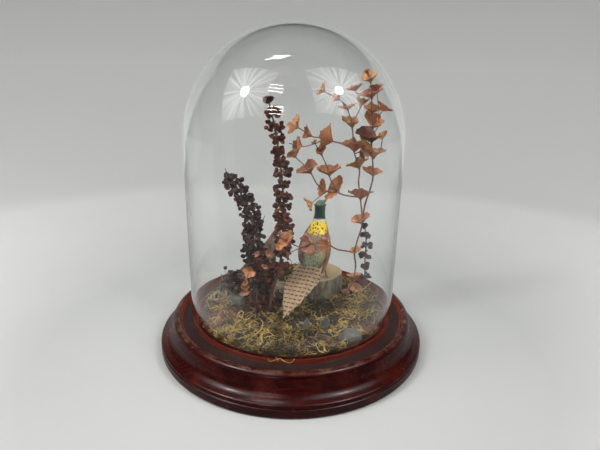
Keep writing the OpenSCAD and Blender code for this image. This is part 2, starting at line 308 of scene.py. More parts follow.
def humus():
    f = Finish("humus")
    tone = f.noise(70, 8, 0.7)
    bits = f.cells(330, out="Color")
    colour = f.ramp(tone, (0.3, (0.005, 0.0045, 0.003)), (0.5, (0.015, 0.012, 0.007)),
                    (0.72, (0.045, 0.033, 0.017)))
    colour = f.mix(0.15, colour, f.mix(1.0, bits, (0.16, 0.09, 0.05), "MULTIPLY"))
    f.set(Base_Color=colour, Roughness=0.92)
    rough = f.bump(f.noise(260, 8, 0.75), 1.4 * MM)
    f.bump(f.cells(900), 0.4 * MM, 1.0, rough)
    return f.material


def stump_finish():
    """A sawn log: rings, saw marks and stains on its top, and grey bark on its side."""
    f = Finish("sawn_stump")
    flat = f.scaled((1, 1, 0), shift=-STUMP_HEART)
    rings = f.node("TexWave", Vector=flat, Scale=130, Distortion=2.2, Detail=3, Detail_Scale=0.4)
    rings.wave_type = "RINGS"
    rings.rings_direction = "Z"
    stain = f.noise(55, 5, 0.6)
    top = f.ramp(rings.outputs["Fac"], (0.0, (0.25, 0.165, 0.09)), (0.6, (0.36, 0.25, 0.145)),
                 (1.0, (0.41, 0.3, 0.185)))
    top = f.mix(f.ramp(stain, (0.42, 0.0), (0.75, 0.7)), top, (0.24, 0.16, 0.09))
    saw = f.noise(1.0, 3, 0.6, f.scaled((60, 1400, 1)))
    top = f.mix(f.ramp(saw, (0.45, 0.0), (0.8, 0.3)), top, (0.2, 0.13, 0.08))
    plates = f.noise(1.0, 8, 0.7, f.scaled((260, 260, 80)), 0.3)
    bark = f.ramp(plates, (0.32, (0.045, 0.036, 0.026)), (0.5, (0.135, 0.108, 0.078)),
                  (0.7, (0.27, 0.22, 0.16)))
    up = f.band(f.axes()[2], STUMP_TOP - 1.1 * MM, STUMP_TOP + 3 * MM, 0.4 * MM)
    f.set(Base_Color=f.mix(up, bark, top), Roughness=0.84)
    under = f.bump(f.mix(up, plates, saw), 0.5 * MM, 0.7)
    f.bump(f.noise(1400, 4, 0.7), 0.1 * MM, 0.8, under)
    return f.material


def rough_bark(name, dark, light, along=(1, 1, 0.25), scale=1.0, depth=0.6):
    f = Finish(name)
    place = f.scaled(tuple(s * 260 * scale for s in along))
    plates = f.noise(1.0, 8, 0.68, place, 0.3)
    speck = f.noise(900, 4, 0.7)
    colour = f.ramp(plates, (0.34, dark), (0.66, light))
    colour = f.mix(f.ramp(speck, (0.5, 0.0), (0.75, 0.55)), colour, tuple(c * 0.45 for c in dark))
    f.set(Base_Color=colour, Roughness=0.88)
    under = f.bump(plates, depth * MM)
    f.bump(speck, 0.1 * MM, 0.8, under)
    return f.material


def river_stone():
    f = Finish("river_stone")
    tone = f.noise(70, 6, 0.6)
    fleck = f.cells(1500)
    colour = f.ramp(tone, (0.3, (0.03, 0.028, 0.023)), (0.7, (0.085, 0.08, 0.065)))
    colour = f.mix(f.ramp(fleck, (0.1, 0.5), (0.32, 0.0)), colour, (0.05, 0.046, 0.04))
    f.set(Base_Color=colour, Roughness=0.62)
    f.bump(f.noise(600, 5, 0.7), 0.12 * MM)
    return f.material


def tan_gravel():
    f = Finish("tan_gravel")
    own = f.cells(330, out="Color")
    colour = f.mix(0.3, (0.17, 0.125, 0.085), f.mix(1.0, own, (0.3, 0.2, 0.13), "MULTIPLY"))
    colour = f.mix(f.ramp(f.noise(900), (0.4, 0.0), (0.7, 0.5)), colour, (0.12, 0.08, 0.05))
    f.set(Base_Color=colour, Roughness=0.85)
    f.bump(f.noise(1500, 4, 0.7), 0.15 * MM)
    return f.material


def dock_husk(name, dark, middle, light):
    """Dried papery seed wings, dark with warmer patches that vary at random."""
    f = Finish(name)
    tone = f.noise(170, 4, 0.65)
    speck = f.noise(1500, 3, 0.6)
    colour = f.ramp(tone, (0.36, dark), (0.54, middle), (0.7, light))
    colour = f.mix(f.ramp(speck, (0.4, 0.0), (0.8, 0.5)), colour, dark)
    f.set(Base_Color=colour, Roughness=0.6, Specular_IOR_Level=0.4)
    f.bump(f.noise(2200, 3, 0.6), 0.12 * MM)
    return f.material


def dry_leaf():
    """Dried leaf: fine veins that run out from the stem, with paler and pinker patches."""
    f = Finish("dry_leaf")
    patch = f.noise(48, 4, 0.6)
    mottle = f.noise(420, 5, 0.65)
    colour = f.ramp(patch, (0.3, (0.23, 0.074, 0.022)), (0.5, (0.33, 0.125, 0.043)),
                    (0.68, (0.4, 0.18, 0.095)))
    own = f.attribute("leaf_tone")
    colour = f.mix(f.times(f.band(own, 0.62, 0.84, 0.04), 0.7), colour, (0.37, 0.165, 0.115))
    colour = f.mix(f.times(f.band(own, 0.0, 0.2, 0.04), 0.7), colour, (0.33, 0.165, 0.05))
    colour = f.mix(f.band(own, 0.988, 1.0, 0.004), colour, (0.07, 0.022, 0.012))
    colour = f.mix(f.ramp(mottle, (0.42, 0.0), (0.72, 0.6)), colour, (0.12, 0.038, 0.014))
    side = f.attribute("leaf_v")
    out = f.attribute("leaf_u")
    veins = f.calc("SINE", f.plus(f.times(side, 26.0), f.times(out, 9.0)))
    vein = f.ramp(f.calc("MULTIPLY_ADD", veins, 0.5, 0.5), (0.72, 0.0), (0.98, 1.0))
    colour = f.mix(f.times(vein, 0.25), colour, (0.36, 0.17, 0.08))
    heart = f.ramp(f.calc("ABSOLUTE", out), (0.02, 1.0), (0.2, 0.0))
    colour = f.mix(f.times(heart, 0.7), colour, (0.17, 0.055, 0.03))
    f.set(Base_Color=colour, Roughness=0.62)
    f.set(Subsurface_Weight=0.12, Subsurface_Scale=0.6 * MM)
    under = f.bump(vein, 0.12 * MM, 0.6)
    f.bump(f.noise(800, 5, 0.7), 0.16 * MM, 1.0, under)
    return f.material


def dry_stem(name, dark, light):
    f = Finish(name)
    tone = f.noise(1.0, 5, 0.6, f.scaled((420, 420, 120)))
    f.set(Base_Color=f.ramp(tone, (0.35, dark), (0.68, light)), Roughness=0.58)
    f.bump(f.noise(1.0, 3, 0.6, f.scaled((2200, 2200, 500))), 0.1 * MM)
    return f.material


def pheasant_back():
    """The bird's body: yellow spotted mantle, scaly purple-brown sides, grey-green spotted rump."""
    f = Finish("painted_feathers")
    x, _, z = f.axes()
    wave = f.noise(220, 4, 0.6)
    height = f.plus(z, f.times(f.minus(wave, 0.5), 5 * MM))
    scales = f.cells(400, f.scaled((1, 0.7, 0.8)), spread=0.7)
    edge = f.cells(430, f.scaled((1, 1, 0.7)), feature="DISTANCE_TO_EDGE")
    rump = f.ramp(scales, (0.12, (0.05, 0.055, 0.035)), (0.34, (0.2, 0.225, 0.14)), (0.6, (0.27, 0.28, 0.19)))
    mantle = f.ramp(edge, (0.02, (0.075, 0.04, 0.035)), (0.16, (0.19, 0.11, 0.08)), (0.4, (0.29, 0.2, 0.12)))
    yellow = f.ramp(scales, (0.27, (0.01, 0.008, 0.004)), (0.36, (0.52, 0.34, 0.004)),
                    (0.5, (0.68, 0.47, 0.006)))
    flank = f.ramp(edge, (0.03, (0.06, 0.03, 0.035)), (0.2, (0.2, 0.09, 0.09)), (0.42, (0.3, 0.16, 0.12)))
    low = f.band(height, 80 * MM, 96 * MM, 5 * MM)
    colour = f.mix(f.band(height, 60 * MM, 90 * MM, 5 * MM), mantle, rump)
    colour = f.mix(f.band(height, 108.5 * MM, 119.5 * MM, 0.8 * MM), colour, yellow)
    side = f.calc("ABSOLUTE", f.minus(x, f.calc("MULTIPLY_ADD", z, 0.2, 3.6 * MM)))
    colour = f.mix(f.times(f.fade(side, 7.5 * MM, 11 * MM), 0.9), colour, flank)
    olive = f.times(f.band(x, 30 * MM, 34 * MM, 2.5 * MM), low)
    colour = f.mix(f.times(olive, 0.55), colour, (0.34, 0.3, 0.09))
    colour = f.mix(f.band(z, 119.5 * MM, 121 * MM, 0.3 * MM), colour, (0.42, 0.43, 0.38))
    f.set(Base_Color=colour, Roughness=0.52)
    under = f.bump(edge, 0.5 * MM, 0.8)
    f.bump(f.noise(1500, 4, 0.6), 0.1 * MM, 1.0, under)
    return f.material


def pheasant_cap():
    """Glossy dark green head with a blue-black side, a grey-green crown and a pale ring round the eye."""
    f = Finish("painted_head")
    x, _, z = f.axes()
    tone = f.noise(260, 5, 0.6)
    green = f.ramp(tone, (0.3, (0.004, 0.02, 0.013)), (0.55, (0.009, 0.045, 0.027)),
                   (0.75, (0.028, 0.085, 0.05)))
    colour = f.mix(f.times(f.fade(x, 27 * MM, 25.6 * MM), 0.85), green, (0.006, 0.01, 0.022))
    colour = f.mix(f.band(z, 136 * MM, 145 * MM, 1.6 * MM), colour, (0.13, 0.17, 0.1))
    colour = f.mix(f.band(z, 110 * MM, 119.6 * MM, 0.3 * MM), colour, (0.42, 0.43, 0.38))
    _, back, up = f.axes(f.vector("SUBTRACT", f.place, mm(*EYES_MIDDLE)))
    colour = f.mix(f.band(f.across(back, up), 0.0, 1.9 * MM, 0.3 * MM), colour, (0.5, 0.47, 0.36))
    f.set(Base_Color=colour, Roughness=0.36, Coat_Weight=0.25, Coat_Roughness=0.3)
    f.bump(f.noise(900, 5, 0.65), 0.25 * MM)
    return f.material


def wing_paint(name, dark, light, slope):
    """Long wing feathers that lie along the side of the bird."""
    f = Finish(name)
    place = f.scaled((560, 260, 150), turn=(slope, 0, 0))
    barbs = f.noise(1.0, 6, 0.65, place)
    rows = f.cells(260, f.scaled((1.6, 1, 0.55)), feature="DISTANCE_TO_EDGE")
    colour = f.ramp(barbs, (0.32, dark), (0.66, light))
    colour = f.mix(f.ramp(rows, (0.02, 0.75), (0.14, 0.0)), colour, tuple(c * 0.35 for c in dark))
    f.set(Base_Color=colour, Roughness=0.5)
    under = f.bump(rows, 0.5 * MM, 0.8)
    f.bump(barbs, 0.2 * MM, 0.8, under)
    return f.material


def tail_paint(place, turn):
    """Rows of short dark bars across pale tan feathers, in the tail's own directions."""
    f = Finish("painted_tail")
    own = f.node("Mapping", Vector=f.place)
    own.vector_type = "TEXTURE"
    own.inputs["Location"].default_value = place
    own.inputs["Rotation"].default_value = turn
    along, across, _ = f.axes(own.outputs[0])
    shake = f.noise(330, 3, 0.6)
    row = f.calc("FRACT", f.plus(f.times(along, 1 / (4.8 * MM)), f.times(shake, 0.4)))
    vane = f.calc("FRACT", f.plus(f.times(across, 1 / (4.7 * MM)), 0.5))
    bar = f.times(f.band(row, 0.12, 0.42, 0.07), f.band(vane, 0.16, 0.84, 0.05))
    grain = f.noise(1.0, 6, 0.65, f.scaled((90, 1300, 400), own.outputs[0]))
    tan = f.ramp(grain, (0.32, (0.14, 0.083, 0.042)), (0.52, (0.235, 0.152, 0.082)),
                 (0.7, (0.31, 0.212, 0.12)))
    warm = f.ramp(f.noise(60, 4, 0.6), (0.42, 0.0), (0.7, 0.6))
    tan = f.mix(warm, tan, (0.26, 0.13, 0.07))
    colour = f.mix(f.times(bar, 0.92), tan, (0.02, 0.013, 0.01))
    quill = f.band(vane, 0.93, 1.0, 0.03)
    colour = f.mix(f.times(quill, 0.5), colour, (0.14, 0.08, 0.05))
    f.set(Base_Color=colour, Roughness=0.6)
    under = f.bump(grain, 0.15 * MM)
    f.bump(vane, 0.2 * MM, 0.5, under)
    return f.material


def gloss_black():
    f = Finish("eye_bead")
    speck = f.noise(900, 3, 0.6)
    f.set(Base_Color=f.ramp(speck, (0.3, (0.004, 0.004, 0.005)), (0.7, (0.02, 0.017, 0.014))), Roughness=0.12)
    f.bump(speck, 0.02 * MM)
    return f.material


# ---- pieces ----
def mesh_of(name, bm):
    """The mesh of a finished bmesh, which is then freed."""
    mesh = bpy.data.meshes.new(name)
    bm.to_mesh(mesh)
    bm.free()
    return mesh


def shown(name, mesh, material):
    """A smooth-shaded object in the scene, of one material."""
    for face in mesh.polygons:
        face.use_smooth = True
    mesh.materials.clear()
    mesh.materials.append(material)
    made = bpy.data.objects.new(name, mesh)
    bpy.context.scene.collection.objects.link(made)
    return made


def piece(name, made, material, slot, *nodes, body=BASE, smooth=40):
    """A finished mesh as an object that rides on a body and stands for the frame's own nodes."""
    mesh = mesh_of(name, made) if isinstance(made, bmesh.types.BMesh) else made
    mesh.name = name
    made = shown(name, mesh, material)
    if smooth < 180:
        mesh.set_sharp_from_angle(angle=math.radians(smooth))
    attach(made, body)
    if nodes:
        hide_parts(*nodes)
    return made


def around(verts):
    """The open edges that meet any of these points, each once."""
    return list({e for v in verts for e in v.link_edges if len(e.link_faces) < 2})


def cap(bm, ring):
    """One face across an open ring of points."""
    return bmesh.ops.contextual_create(bm, geom=around(ring))["faces"]


def outward(bm):
    bmesh.ops.recalc_face_normals(bm, faces=bm.faces)


def soften(made, levels=1):
    """Rounds a finished piece."""
    change = made.modifiers.new("soften", "SUBSURF")
    change.levels = levels
    change.render_levels = levels
    return made


def arc(centre, r, start, end, steps=8):
    """Points on an arc in the R-Z plane."""
    turns = [math.radians(start + (end - start) * i / steps) for i in range(steps + 1)]
    return [(centre[0] + r * math.cos(t), centre[1] + r * math.sin(t)) for t in turns]


def turned(profile, steps):
    """A profile of (radius, height) points, turned once round the upright axis."""
    bm = bmesh.new()
    ring = [bm.verts.new((r, 0, z)) for r, z in profile]
    edges = [bm.edges.new(pair) for pair in zip(ring, ring[1:])]
    bmesh.ops.spin(bm, geom=ring + edges, axis=UP, cent=(0, 0, 0), steps=steps, angle=2 * math.pi,
                   use_merge=True)
    bmesh.ops.remove_doubles(bm, verts=bm.verts, dist=1e-6)
    outward(bm)
    return bm


def roughen(bm, depth, scale, seed, fine=0.35):
    """Pushes the surface in and out along its normals, in two sizes of bump."""
    shift = Vector((seed, seed * 1.7, -seed))
    bm.normal_update()
    for v in bm.verts:
        wide = noise.noise(v.co * scale + shift)
        small = noise.noise(v.co * scale * 3.1 - shift)
        v.co += v.normal * depth * (wide + fine * small)


def tube(name, paths, sides=6):
    """Round tubes through lists of (point, radius); sides is 4, 6 or 8."""
    curve = bpy.data.curves.new(name, "CURVE")
    curve.dimensions = "3D"
    curve.bevel_depth = 1.0
    curve.bevel_resolution = (sides - 4) // 2
    curve.use_fill_caps = True
    for path in paths:
        line = curve.splines.new("POLY")
        line.points.add(len(path) - 1)
        for point, (at, r) in zip(line.points, path):
            point.co = (*at, 1)
            point.radius = r
    holder = bpy.data.objects.new(name, curve)
    mesh = bpy.data.meshes.new_from_object(holder)
    bpy.data.objects.remove(holder)
    bpy.data.curves.remove(curve)
    return mesh


def smooth_path(points, per_span=5):
    """A smooth line through hand-set points (x, y, z, ...), in millimetres, as vectors in metres."""
    line = [Vector(p[:3]) * MM for p in points]
    line = [line[0] * 2 - line[1]] + line + [line[-1] * 2 - line[-2]]
    made = []
    for a, b, c, d in zip(line, line[1:], line[2:], line[3:]):
        for i in range(per_span):
            t = i / per_span
            made.append(0.5 * (2 * b + (c - a) * t + (2 * a - 5 * b + 4 * c - d) * t ** 2
                               + (3 * b - a - 3 * c + d) * t ** 3))
    return made + [line[-2]]


def on_line(line, t):
    """The point and the direction a part t of the way along a line of vectors."""
    place = max(0.0, min(t, 1.0)) * (len(line) - 1)
    k = min(int(place), len(line) - 2)
    way = (line[k + 1] - line[k]).normalized()
    return line[k].lerp(line[k + 1], place - k), way


def tapered(line, thick, thin, wobble=0.0, rng=None):
    """A line as (point, radius) steps that thin out to its end."""
    last = len(line) - 1
    shake = [1 + wobble * rng.uniform(-1, 1) if rng else 1 for _ in line]
    return [(p, (thick + (thin - thick) * i / last) * shake[i]) for i, p in enumerate(line)]


# ---- base, felt and glass ----
def base_pieces():
    lip = (REBATE_R + LIP_R, DISC_TOP + LIP_RISE - LIP_R)
    cove_r = 11 * MM
    nose_r = 3 * MM
    foot = 1 * MM
    soft = 0.35 * MM
    profile = [(0, BASE_FOOT)]
    profile += arc((BASE_R - foot, BASE_FOOT + foot), foot, -90, 0, 6)
    profile += [(BASE_R, BAND_H - 0.8 * MM), (BASE_R - 0.9 * MM, BAND_H - 0.2 * MM)]
    profile += arc((BASE_R - nose_r, BAND_H + 1 * MM), nose_r, 0, 75, 10)
    profile += arc((BASE_R + 0.3 * MM, BAND_H + 3.9 * MM + cove_r), cove_r, 250, 186, 18)
    profile += arc((lip[0] - 1.4 * MM, lip[1] - 3.2 * MM), 5.6 * MM, 12, 58, 12)
    profile += arc(lip, LIP_R, 20, 180, 26)
    profile += arc((REBATE_R - soft, REBATE_FLOOR + soft), soft, 0, -90, 4)
    profile += [(DISC_R + soft, REBATE_FLOOR)]
    profile += arc((DISC_R - soft, DISC_TOP - soft), soft, 0, 90, 4)
    profile += [(DISC_R - 12 * MM, DISC_TOP), (0, DISC_TOP)]
    bm = turned(profile, 200)
    piece("turned_base", bm, mahogany(), "mahogany", "base_moulding", smooth=38)

    edge = 0.4 * MM
    pad = turned([(0, 0), *arc((FELT_R - edge, edge), edge, -90, 0, 3), (FELT_R, FELT_T), (0, FELT_T)], 120)
    piece("felt_sheet", pad, felt(), "felt", "felt_pad")


def glass_piece():
    """Blown glass of one even wall, with a melted round rim, that narrows nowhere below its crown."""
    half = GLASS_WALL / 2
    inner = GLASS_R - GLASS_WALL
    wall = [RIM_Z + half + (CROWN_Z - RIM_Z - half) * t / 12 for t in range(1, 12)]
    profile = arc((0, CROWN_Z), inner, 90, 0, 48)
    profile += [(inner, z) for z in reversed(wall)]
    profile += arc((GLASS_R - half, RIM_Z + half), half, 180, 360, 12)
    profile += [(GLASS_R, z) for z in wall]
    profile += arc((0, CROWN_Z), GLASS_R, 0, 90, 48)
    made = turned(profile, 168)
    piece("blown_glass", made, clear_glass(), "dome_glass", "glass_dome", body=DOME, smooth=180)


# ---- ground ----
def ground_height(x, y):
    """How high the moss bed stands above the disc at a place, in metres."""
    q = min(1.0, math.hypot(x, y) / BED_R)
    a = math.atan2(y, x)
    swell = (1 - q * q) * (1.1 * math.sin(3 * a + 0.35) + 0.8 * math.cos(5 * a)) * q
    return GROUND_Z + (swell - 1.2 * q ** 6) * MM


def moss_ground():
    rings = 44
    profile = [(BED_R * k / rings, GROUND_Z) for k in range(rings + 1)]
    profile += [(BED_R, DISC_TOP), (0, DISC_TOP)]
    bm = turned(profile, 180)
    for v in bm.verts:
        if v.co.z < DISC_TOP + 0.1 * MM:
            continue
        x, y = v.co.x, v.co.y
        lump = noise.noise(v.co * 160) * 1.3 + noise.noise(v.co * 420) * 0.8 + noise.noise(v.co * 900) * 0.4
        keep = 1 if math.hypot(x, y) < BED_R - 0.5 * MM else 0.3
        v.co.z = ground_height(x, y) + lump * keep * MM - 0.8 * MM
        v.co.z = max(v.co.z, DISC_TOP + 0.2 * MM)
    piece("moss_mat", bm, humus(), "moss_bed", "moss_bed", smooth=180)


STRAND_REACH = 94.5 * MM


def strand(rng, start, length, curl, rise, thick, steps=7):
    """One dry moss strand: a wandering curl that stays above the mat and inside the glass."""
    heading = rng.uniform(0, 2 * math.pi)
    bend = rng.choice((-1, 1)) * rng.uniform(0.4, 1.0) * curl
    climb = rng.uniform(0.2, 1.0) * rise
    at = Vector(start)
    step = length / steps
    path = []
    for i in range(steps + 1):
        path.append((at.copy(), thick * (1 - 0.5 * i / steps)))
        if rng.random() < 0.18:
            bend = -bend
        heading += bend + rng.uniform(-0.3, 0.3)
        climb = climb * 0.55 + rng.uniform(-0.75, 0.65) * rise
        at = at + Vector((math.cos(heading), math.sin(heading), climb)) * step
        floor = ground_height(at.x, at.y) + 0.3 * MM
        at.z = max(at.z, floor)
        far = math.hypot(at.x, at.y)
        if far > STRAND_REACH:
            at.x *= STRAND_REACH / far
            at.y *= STRAND_REACH / far
    return path


def moss_patch(name, material, slot, seed, count, place, length, thick, rise=0.6, curl=0.8, nodes=()):
    """Many loose strands of a length and thickness in millimetres; place(rng) gives where each one starts."""
    rng = random.Random(seed)
    paths = []
    while len(paths) < count:
        start = place(rng)
        if start is None:
            continue
        size = rng.uniform(*length) * MM
        paths.append(strand(rng, start, size, curl, rise, thick * rng.uniform(0.6, 1.2) * MM))
    piece(name, tube(name, paths, 4), material, slot, *nodes, smooth=180)


STUMP_CLEAR = (28, 34, 25)
GRAVEL_CLEAR = (-74, 12, 10)
LEFT_STONE_CLEAR = (-58, 2, 6)
RIGHT_STONE_CLEAR = (54, -64, 6)


def bed_spot(rng, wanted=None):
    """A random spot on the mat, clear of the stump, the gravel and the stones."""
    r = BED_R * math.sqrt(rng.random())
    at = polar(r, rng.uniform(0, 360))
    for x, y, gap in (STUMP_CLEAR, GRAVEL_CLEAR, LEFT_STONE_CLEAR, RIGHT_STONE_CLEAR):
        if (at - mm(x, y, 0)).length < gap * MM:
            return None
    if wanted and not wanted(at, rng):
        return None
    at.z = ground_height(at.x, at.y) + rng.uniform(-0.6, 0.8) * MM
    return at


def heap_spot(rng, x, y, rx, ry, h, turn):
    """A random spot on a low rounded heap of moss."""
    r = math.sqrt(rng.random())
    a = rng.uniform(0, 2 * math.pi)
    near = Vector((rx * r * math.cos(a), ry * r * math.sin(a), 0))
    near.rotate(Matrix.Rotation(math.radians(turn), 3, "Z"))
    at = (near + Vector((x, y, 0))) * MM
    crown = h * math.sqrt(max(0.0, 1 - r * r)) * rng.uniform(0.45, 1.0)
    at.z = ground_height(at.x, at.y) + crown * MM
    return at


def moss_pieces():
    golden = moss_strands("golden_moss", (0.06, 0.034, 0.008), (0.27, 0.17, 0.035), (0.5, 0.35, 0.1))
    olive = moss_strands("olive_moss", (0.009, 0.008, 0.004), (0.03, 0.024, 0.01), (0.075, 0.056, 0.022))
    tan = moss_strands("tan_moss", (0.06, 0.028, 0.013), (0.2, 0.105, 0.05), (0.36, 0.21, 0.11))
    russet = moss_strands("russet_moss", (0.04, 0.012, 0.008), (0.1, 0.035, 0.02), (0.2, 0.085, 0.045))

    def patchy(at, rng):
        return noise.noise(at * 48) + rng.uniform(-0.3, 0.3) > 0.14

    def at_front(at, rng):
        return at.y < -45 * MM or rng.random() < 0.2

    def russet_place(at, rng):
        left = (at - mm(-67, -30, 0)).length < 26 * MM
        right = (at - mm(78, -46, 0)).length < 20 * MM
        return left or right or rng.random() < 0.08

    moss_patch("moss_dark_strands", olive, "moss_bed", 11, 1900, bed_spot, (8, 17), 0.5, rise=0.4)
    moss_patch("moss_golden_strands", golden, "moss", 12, 620, lambda rng: bed_spot(rng, patchy),
               (10, 22), 0.58, rise=1.1, curl=1.25)
    moss_patch("moss_tan_strands", tan, "moss", 13, 420, lambda rng: bed_spot(rng, at_front), (8, 17), 0.48)
    moss_patch("moss_russet_strands", russet, "moss", 14, 700, lambda rng: bed_spot(rng, russet_place),
               (7, 15), 0.5)
    heaps = (
        ("moss_front", 95, (-10, -72, 26, 14, 5, 8)),
        ("moss_front_left", 95, (-50, -58, 17, 13, 6, 40)),
        ("moss_right", 115, (72, -12, 12, 24, 8, -12)),
        ("moss_back", 120, (10, 74, 34, 9, 6, 4)),
    )
    for i, (name, count, heap) in enumerate(heaps):
        def spot(rng, heap=heap):
            return heap_spot(rng, *heap)

        moss_patch(name + "_curls", golden, "moss", 20 + i, count, spot, (13, 26), 0.6, rise=1.3, curl=1.3,
                   nodes=(name,))
        moss_patch(name + "_shade", olive, "moss", 30 + i, count, spot, (9, 18), 0.6, rise=0.5, curl=0.9)
    stray = smooth_path([(-19, -95.8, 32.4), (-18.3, -96.1, 29.8), (-14, -96.9, 31), (-9.4, -96.2, 32.6),
                         (-5, -97.7, 30.6), (0, -97.9, 29.8), (3, -96, 32.4)], 4)
    second = smooth_path([(-13, -95, 33.2), (-10.5, -97.2, 31.8), (-11.5, -97.1, 30)], 4)
    strands = [tapered(stray, 0.5 * MM, 0.3 * MM), tapered(second, 0.4 * MM, 0.25 * MM)]
    piece("moss_stray_strand", tube("moss_stray_strand", strands, 6), golden, "moss", smooth=180)


# ---- wood and stones ----
def slab_of(outline, thick, cuts):
    """A flat piece of the outline, cut fine enough to be roughened, standing on its lower face."""
    bm = bmesh.new()
    corners = [bm.verts.new((x * MM, y * MM, 0)) for x, y in outline]
    bm.faces.new(corners)
    grown = bmesh.ops.extrude_face_region(bm, geom=bm.faces[:])["geom"]
    upper = [g for g in grown if isinstance(g, bmesh.types.BMVert)]
    bmesh.ops.translate(bm, verts=upper, vec=(0, 0, thick * MM))
    outward(bm)
    bmesh.ops.bevel(bm, geom=bm.edges[:], offset=min(0.35, thick / 5) * MM, affect="EDGES", segments=2,
                    profile=0.5, material=-1)
    bmesh.ops.triangulate(bm, faces=bm.faces)
    for _ in range(cuts):
        long = [e for e in bm.edges if e.calc_length() > 1.1 * MM]
        if not long:
            break
        bmesh.ops.subdivide_edges(bm, edges=long, cuts=1, use_grid_fill=True)
        bmesh.ops.triangulate(bm, faces=[f for f in bm.faces if len(f.verts) > 3])
    return bm


def stump_piece():
    """A round of branch with a ridged bark, a flat sawn top and one crack across its heart."""
    centre = STUMP_MIDDLE
    foot = GROUND_Z - 2 * MM
    rings = 26
    bm = bmesh.new()
    levels = []
    for k in range(rings + 1):
        z = foot + (STUMP_TOP - foot) * k / rings
        ring = bmesh.ops.create_circle(bm, segments=132, radius=27 * MM)["verts"]
        bmesh.ops.translate(bm, verts=ring, vec=centre + UP * z)
        levels.append(ring)
    for a, b in zip(levels, levels[1:]):
        bmesh.ops.bridge_loops(bm, edges=around(a + b))
    for v in bm.verts:
        out = v.co - centre
        a = math.atan2(out.y, out.x)
        up = (v.co.z - foot) / (STUMP_TOP - foot)
        ridge = noise.noise(Vector((math.cos(a) * 7, math.sin(a) * 7, v.co.z * 45)))
        ridge += 0.6 * noise.noise(Vector((math.cos(a) * 19, math.sin(a) * 19, v.co.z * 120)))
        grow = 0.985 + 0.03 * math.sin(3 * a + 0.7) + 0.015 * math.cos(6 * a)
        grow += 0.028 * ridge * (1.0 - up ** 8)
        grow -= 0.02 * up ** 10
        v.co.x = centre.x + out.x * grow
        v.co.y = centre.y + out.y * grow
    top = cap(bm, levels[-1])
    for inset in (1.2, 4, 5, 5, 5, 4):
        bmesh.ops.inset_region(bm, faces=top, thickness=inset * MM, depth=0)
    cap(bm, levels[0])
    outward(bm)
    for v in bm.verts:
        if v.co.z > STUMP_TOP - 0.1 * MM:
            crack = abs((v.co - STUMP_HEART).dot(Vector((0.35, 0.94, 0)))) < 0.5 * MM
            v.co.z += (-0.7 if crack else 0.25 * noise.noise(v.co * 300) - 0.25) * MM
    piece("sawn_stump", bm, stump_finish(), "sawn_log", "stump", smooth=35)


def log_piece():
    bm = slab_of([(0, -9), (8, -9.5), (14, -6), (17, 0), (13, 7), (6, 9), (0, 8.5)], 25, 5)
    roughen(bm, 0.9 * MM, 110, 3.0)
    lie = Matrix.Translation(mm(-24, 24, 33)) @ rotated(-14, "Z")
    lie = lie @ rotated(90, "Y") @ Matrix.Scale(-1, 4, (1, 0, 0))
    bmesh.ops.transform(bm, matrix=lie, verts=bm.verts)
    outward(bm)
    olive = rough_bark("olive_log", (0.05, 0.04, 0.022), (0.23, 0.19, 0.11), (0.3, 1, 1), 1.2, 0.7)
    piece("split_log_wood", bm, olive, "weathered_wood", "split_log", smooth=40)


def slab_piece():
    """A long weathered board that leans up towards the dock, thinner at its tip."""
    outline = [(-84, 31), (-70, 44), (-62, 54), (-48, 69), (-36, 82), (-27, 92), (-20, 103), (-17, 105),
               (-16.5, 99), (-18, 80), (-18.5, 60), (-18, 33), (-50, 33)]
    bm = slab_of(outline, 4.4, 6)
    roughen(bm, 0.8 * MM, 90, 8.0, 0.6)
    for v in bm.verts:
        x, up, depth = v.co
        grain = noise.noise(Vector((x * 60 + up * 30, up * 180 - x * 120, 2.0)))
        v.co = Vector((x, (31 + (x / MM + 73) * 0.16) * MM + depth - 2.2 * MM + 0.7 * MM * grain, up))
    outward(bm)
    pale = rough_bark("pale_slab", (0.07, 0.042, 0.027), (0.33, 0.225, 0.155), (1.2, 1, 0.35), 0.9, 0.8)
    piece("weathered_slab", bm, pale, "weathered_wood", "bark_slab", smooth=40)


def chip_pieces():
    grey = rough_bark("grey_chip", (0.045, 0.038, 0.03), (0.15, 0.135, 0.11), (1, 1, 0.3), 1.5, 0.5)
    chips = (
        ("bark_chip_left", (13, -56, 37), (14, 4, 24), 4, 6),
        ("bark_chip_right", (31.5, -50, 38), (10, 4, 24), -6, 12),
    )
    for i, (name, at, (wide, thick, tall), turn, lean) in enumerate(chips):
        w, h = wide / 2, tall / 2
        outline = [(-w, -h), (w, -h + 1), (w - 0.6, -h / 3), (w - 1, h / 2), (w * 0.45, h * 0.6), (1, h),
                   (-w * 0.3, h * 0.55), (-w + 1, h * 0.66), (-w + 0.3, 0)]
        bm = slab_of(outline, thick, 5)
        bmesh.ops.translate(bm, verts=bm.verts, vec=(0, 0, -thick / 2 * MM))
        roughen(bm, 0.55 * MM, 220, 5.0 + i, 0.6)
        stand = Matrix.Translation(mm(*at)) @ rotated(turn, "Z")
        stand = stand @ rotated(90 + lean, "X")
        bmesh.ops.transform(bm, matrix=stand, verts=bm.verts)
        piece(name + "_wood", bm, grey, "bark_chip", name, smooth=35)


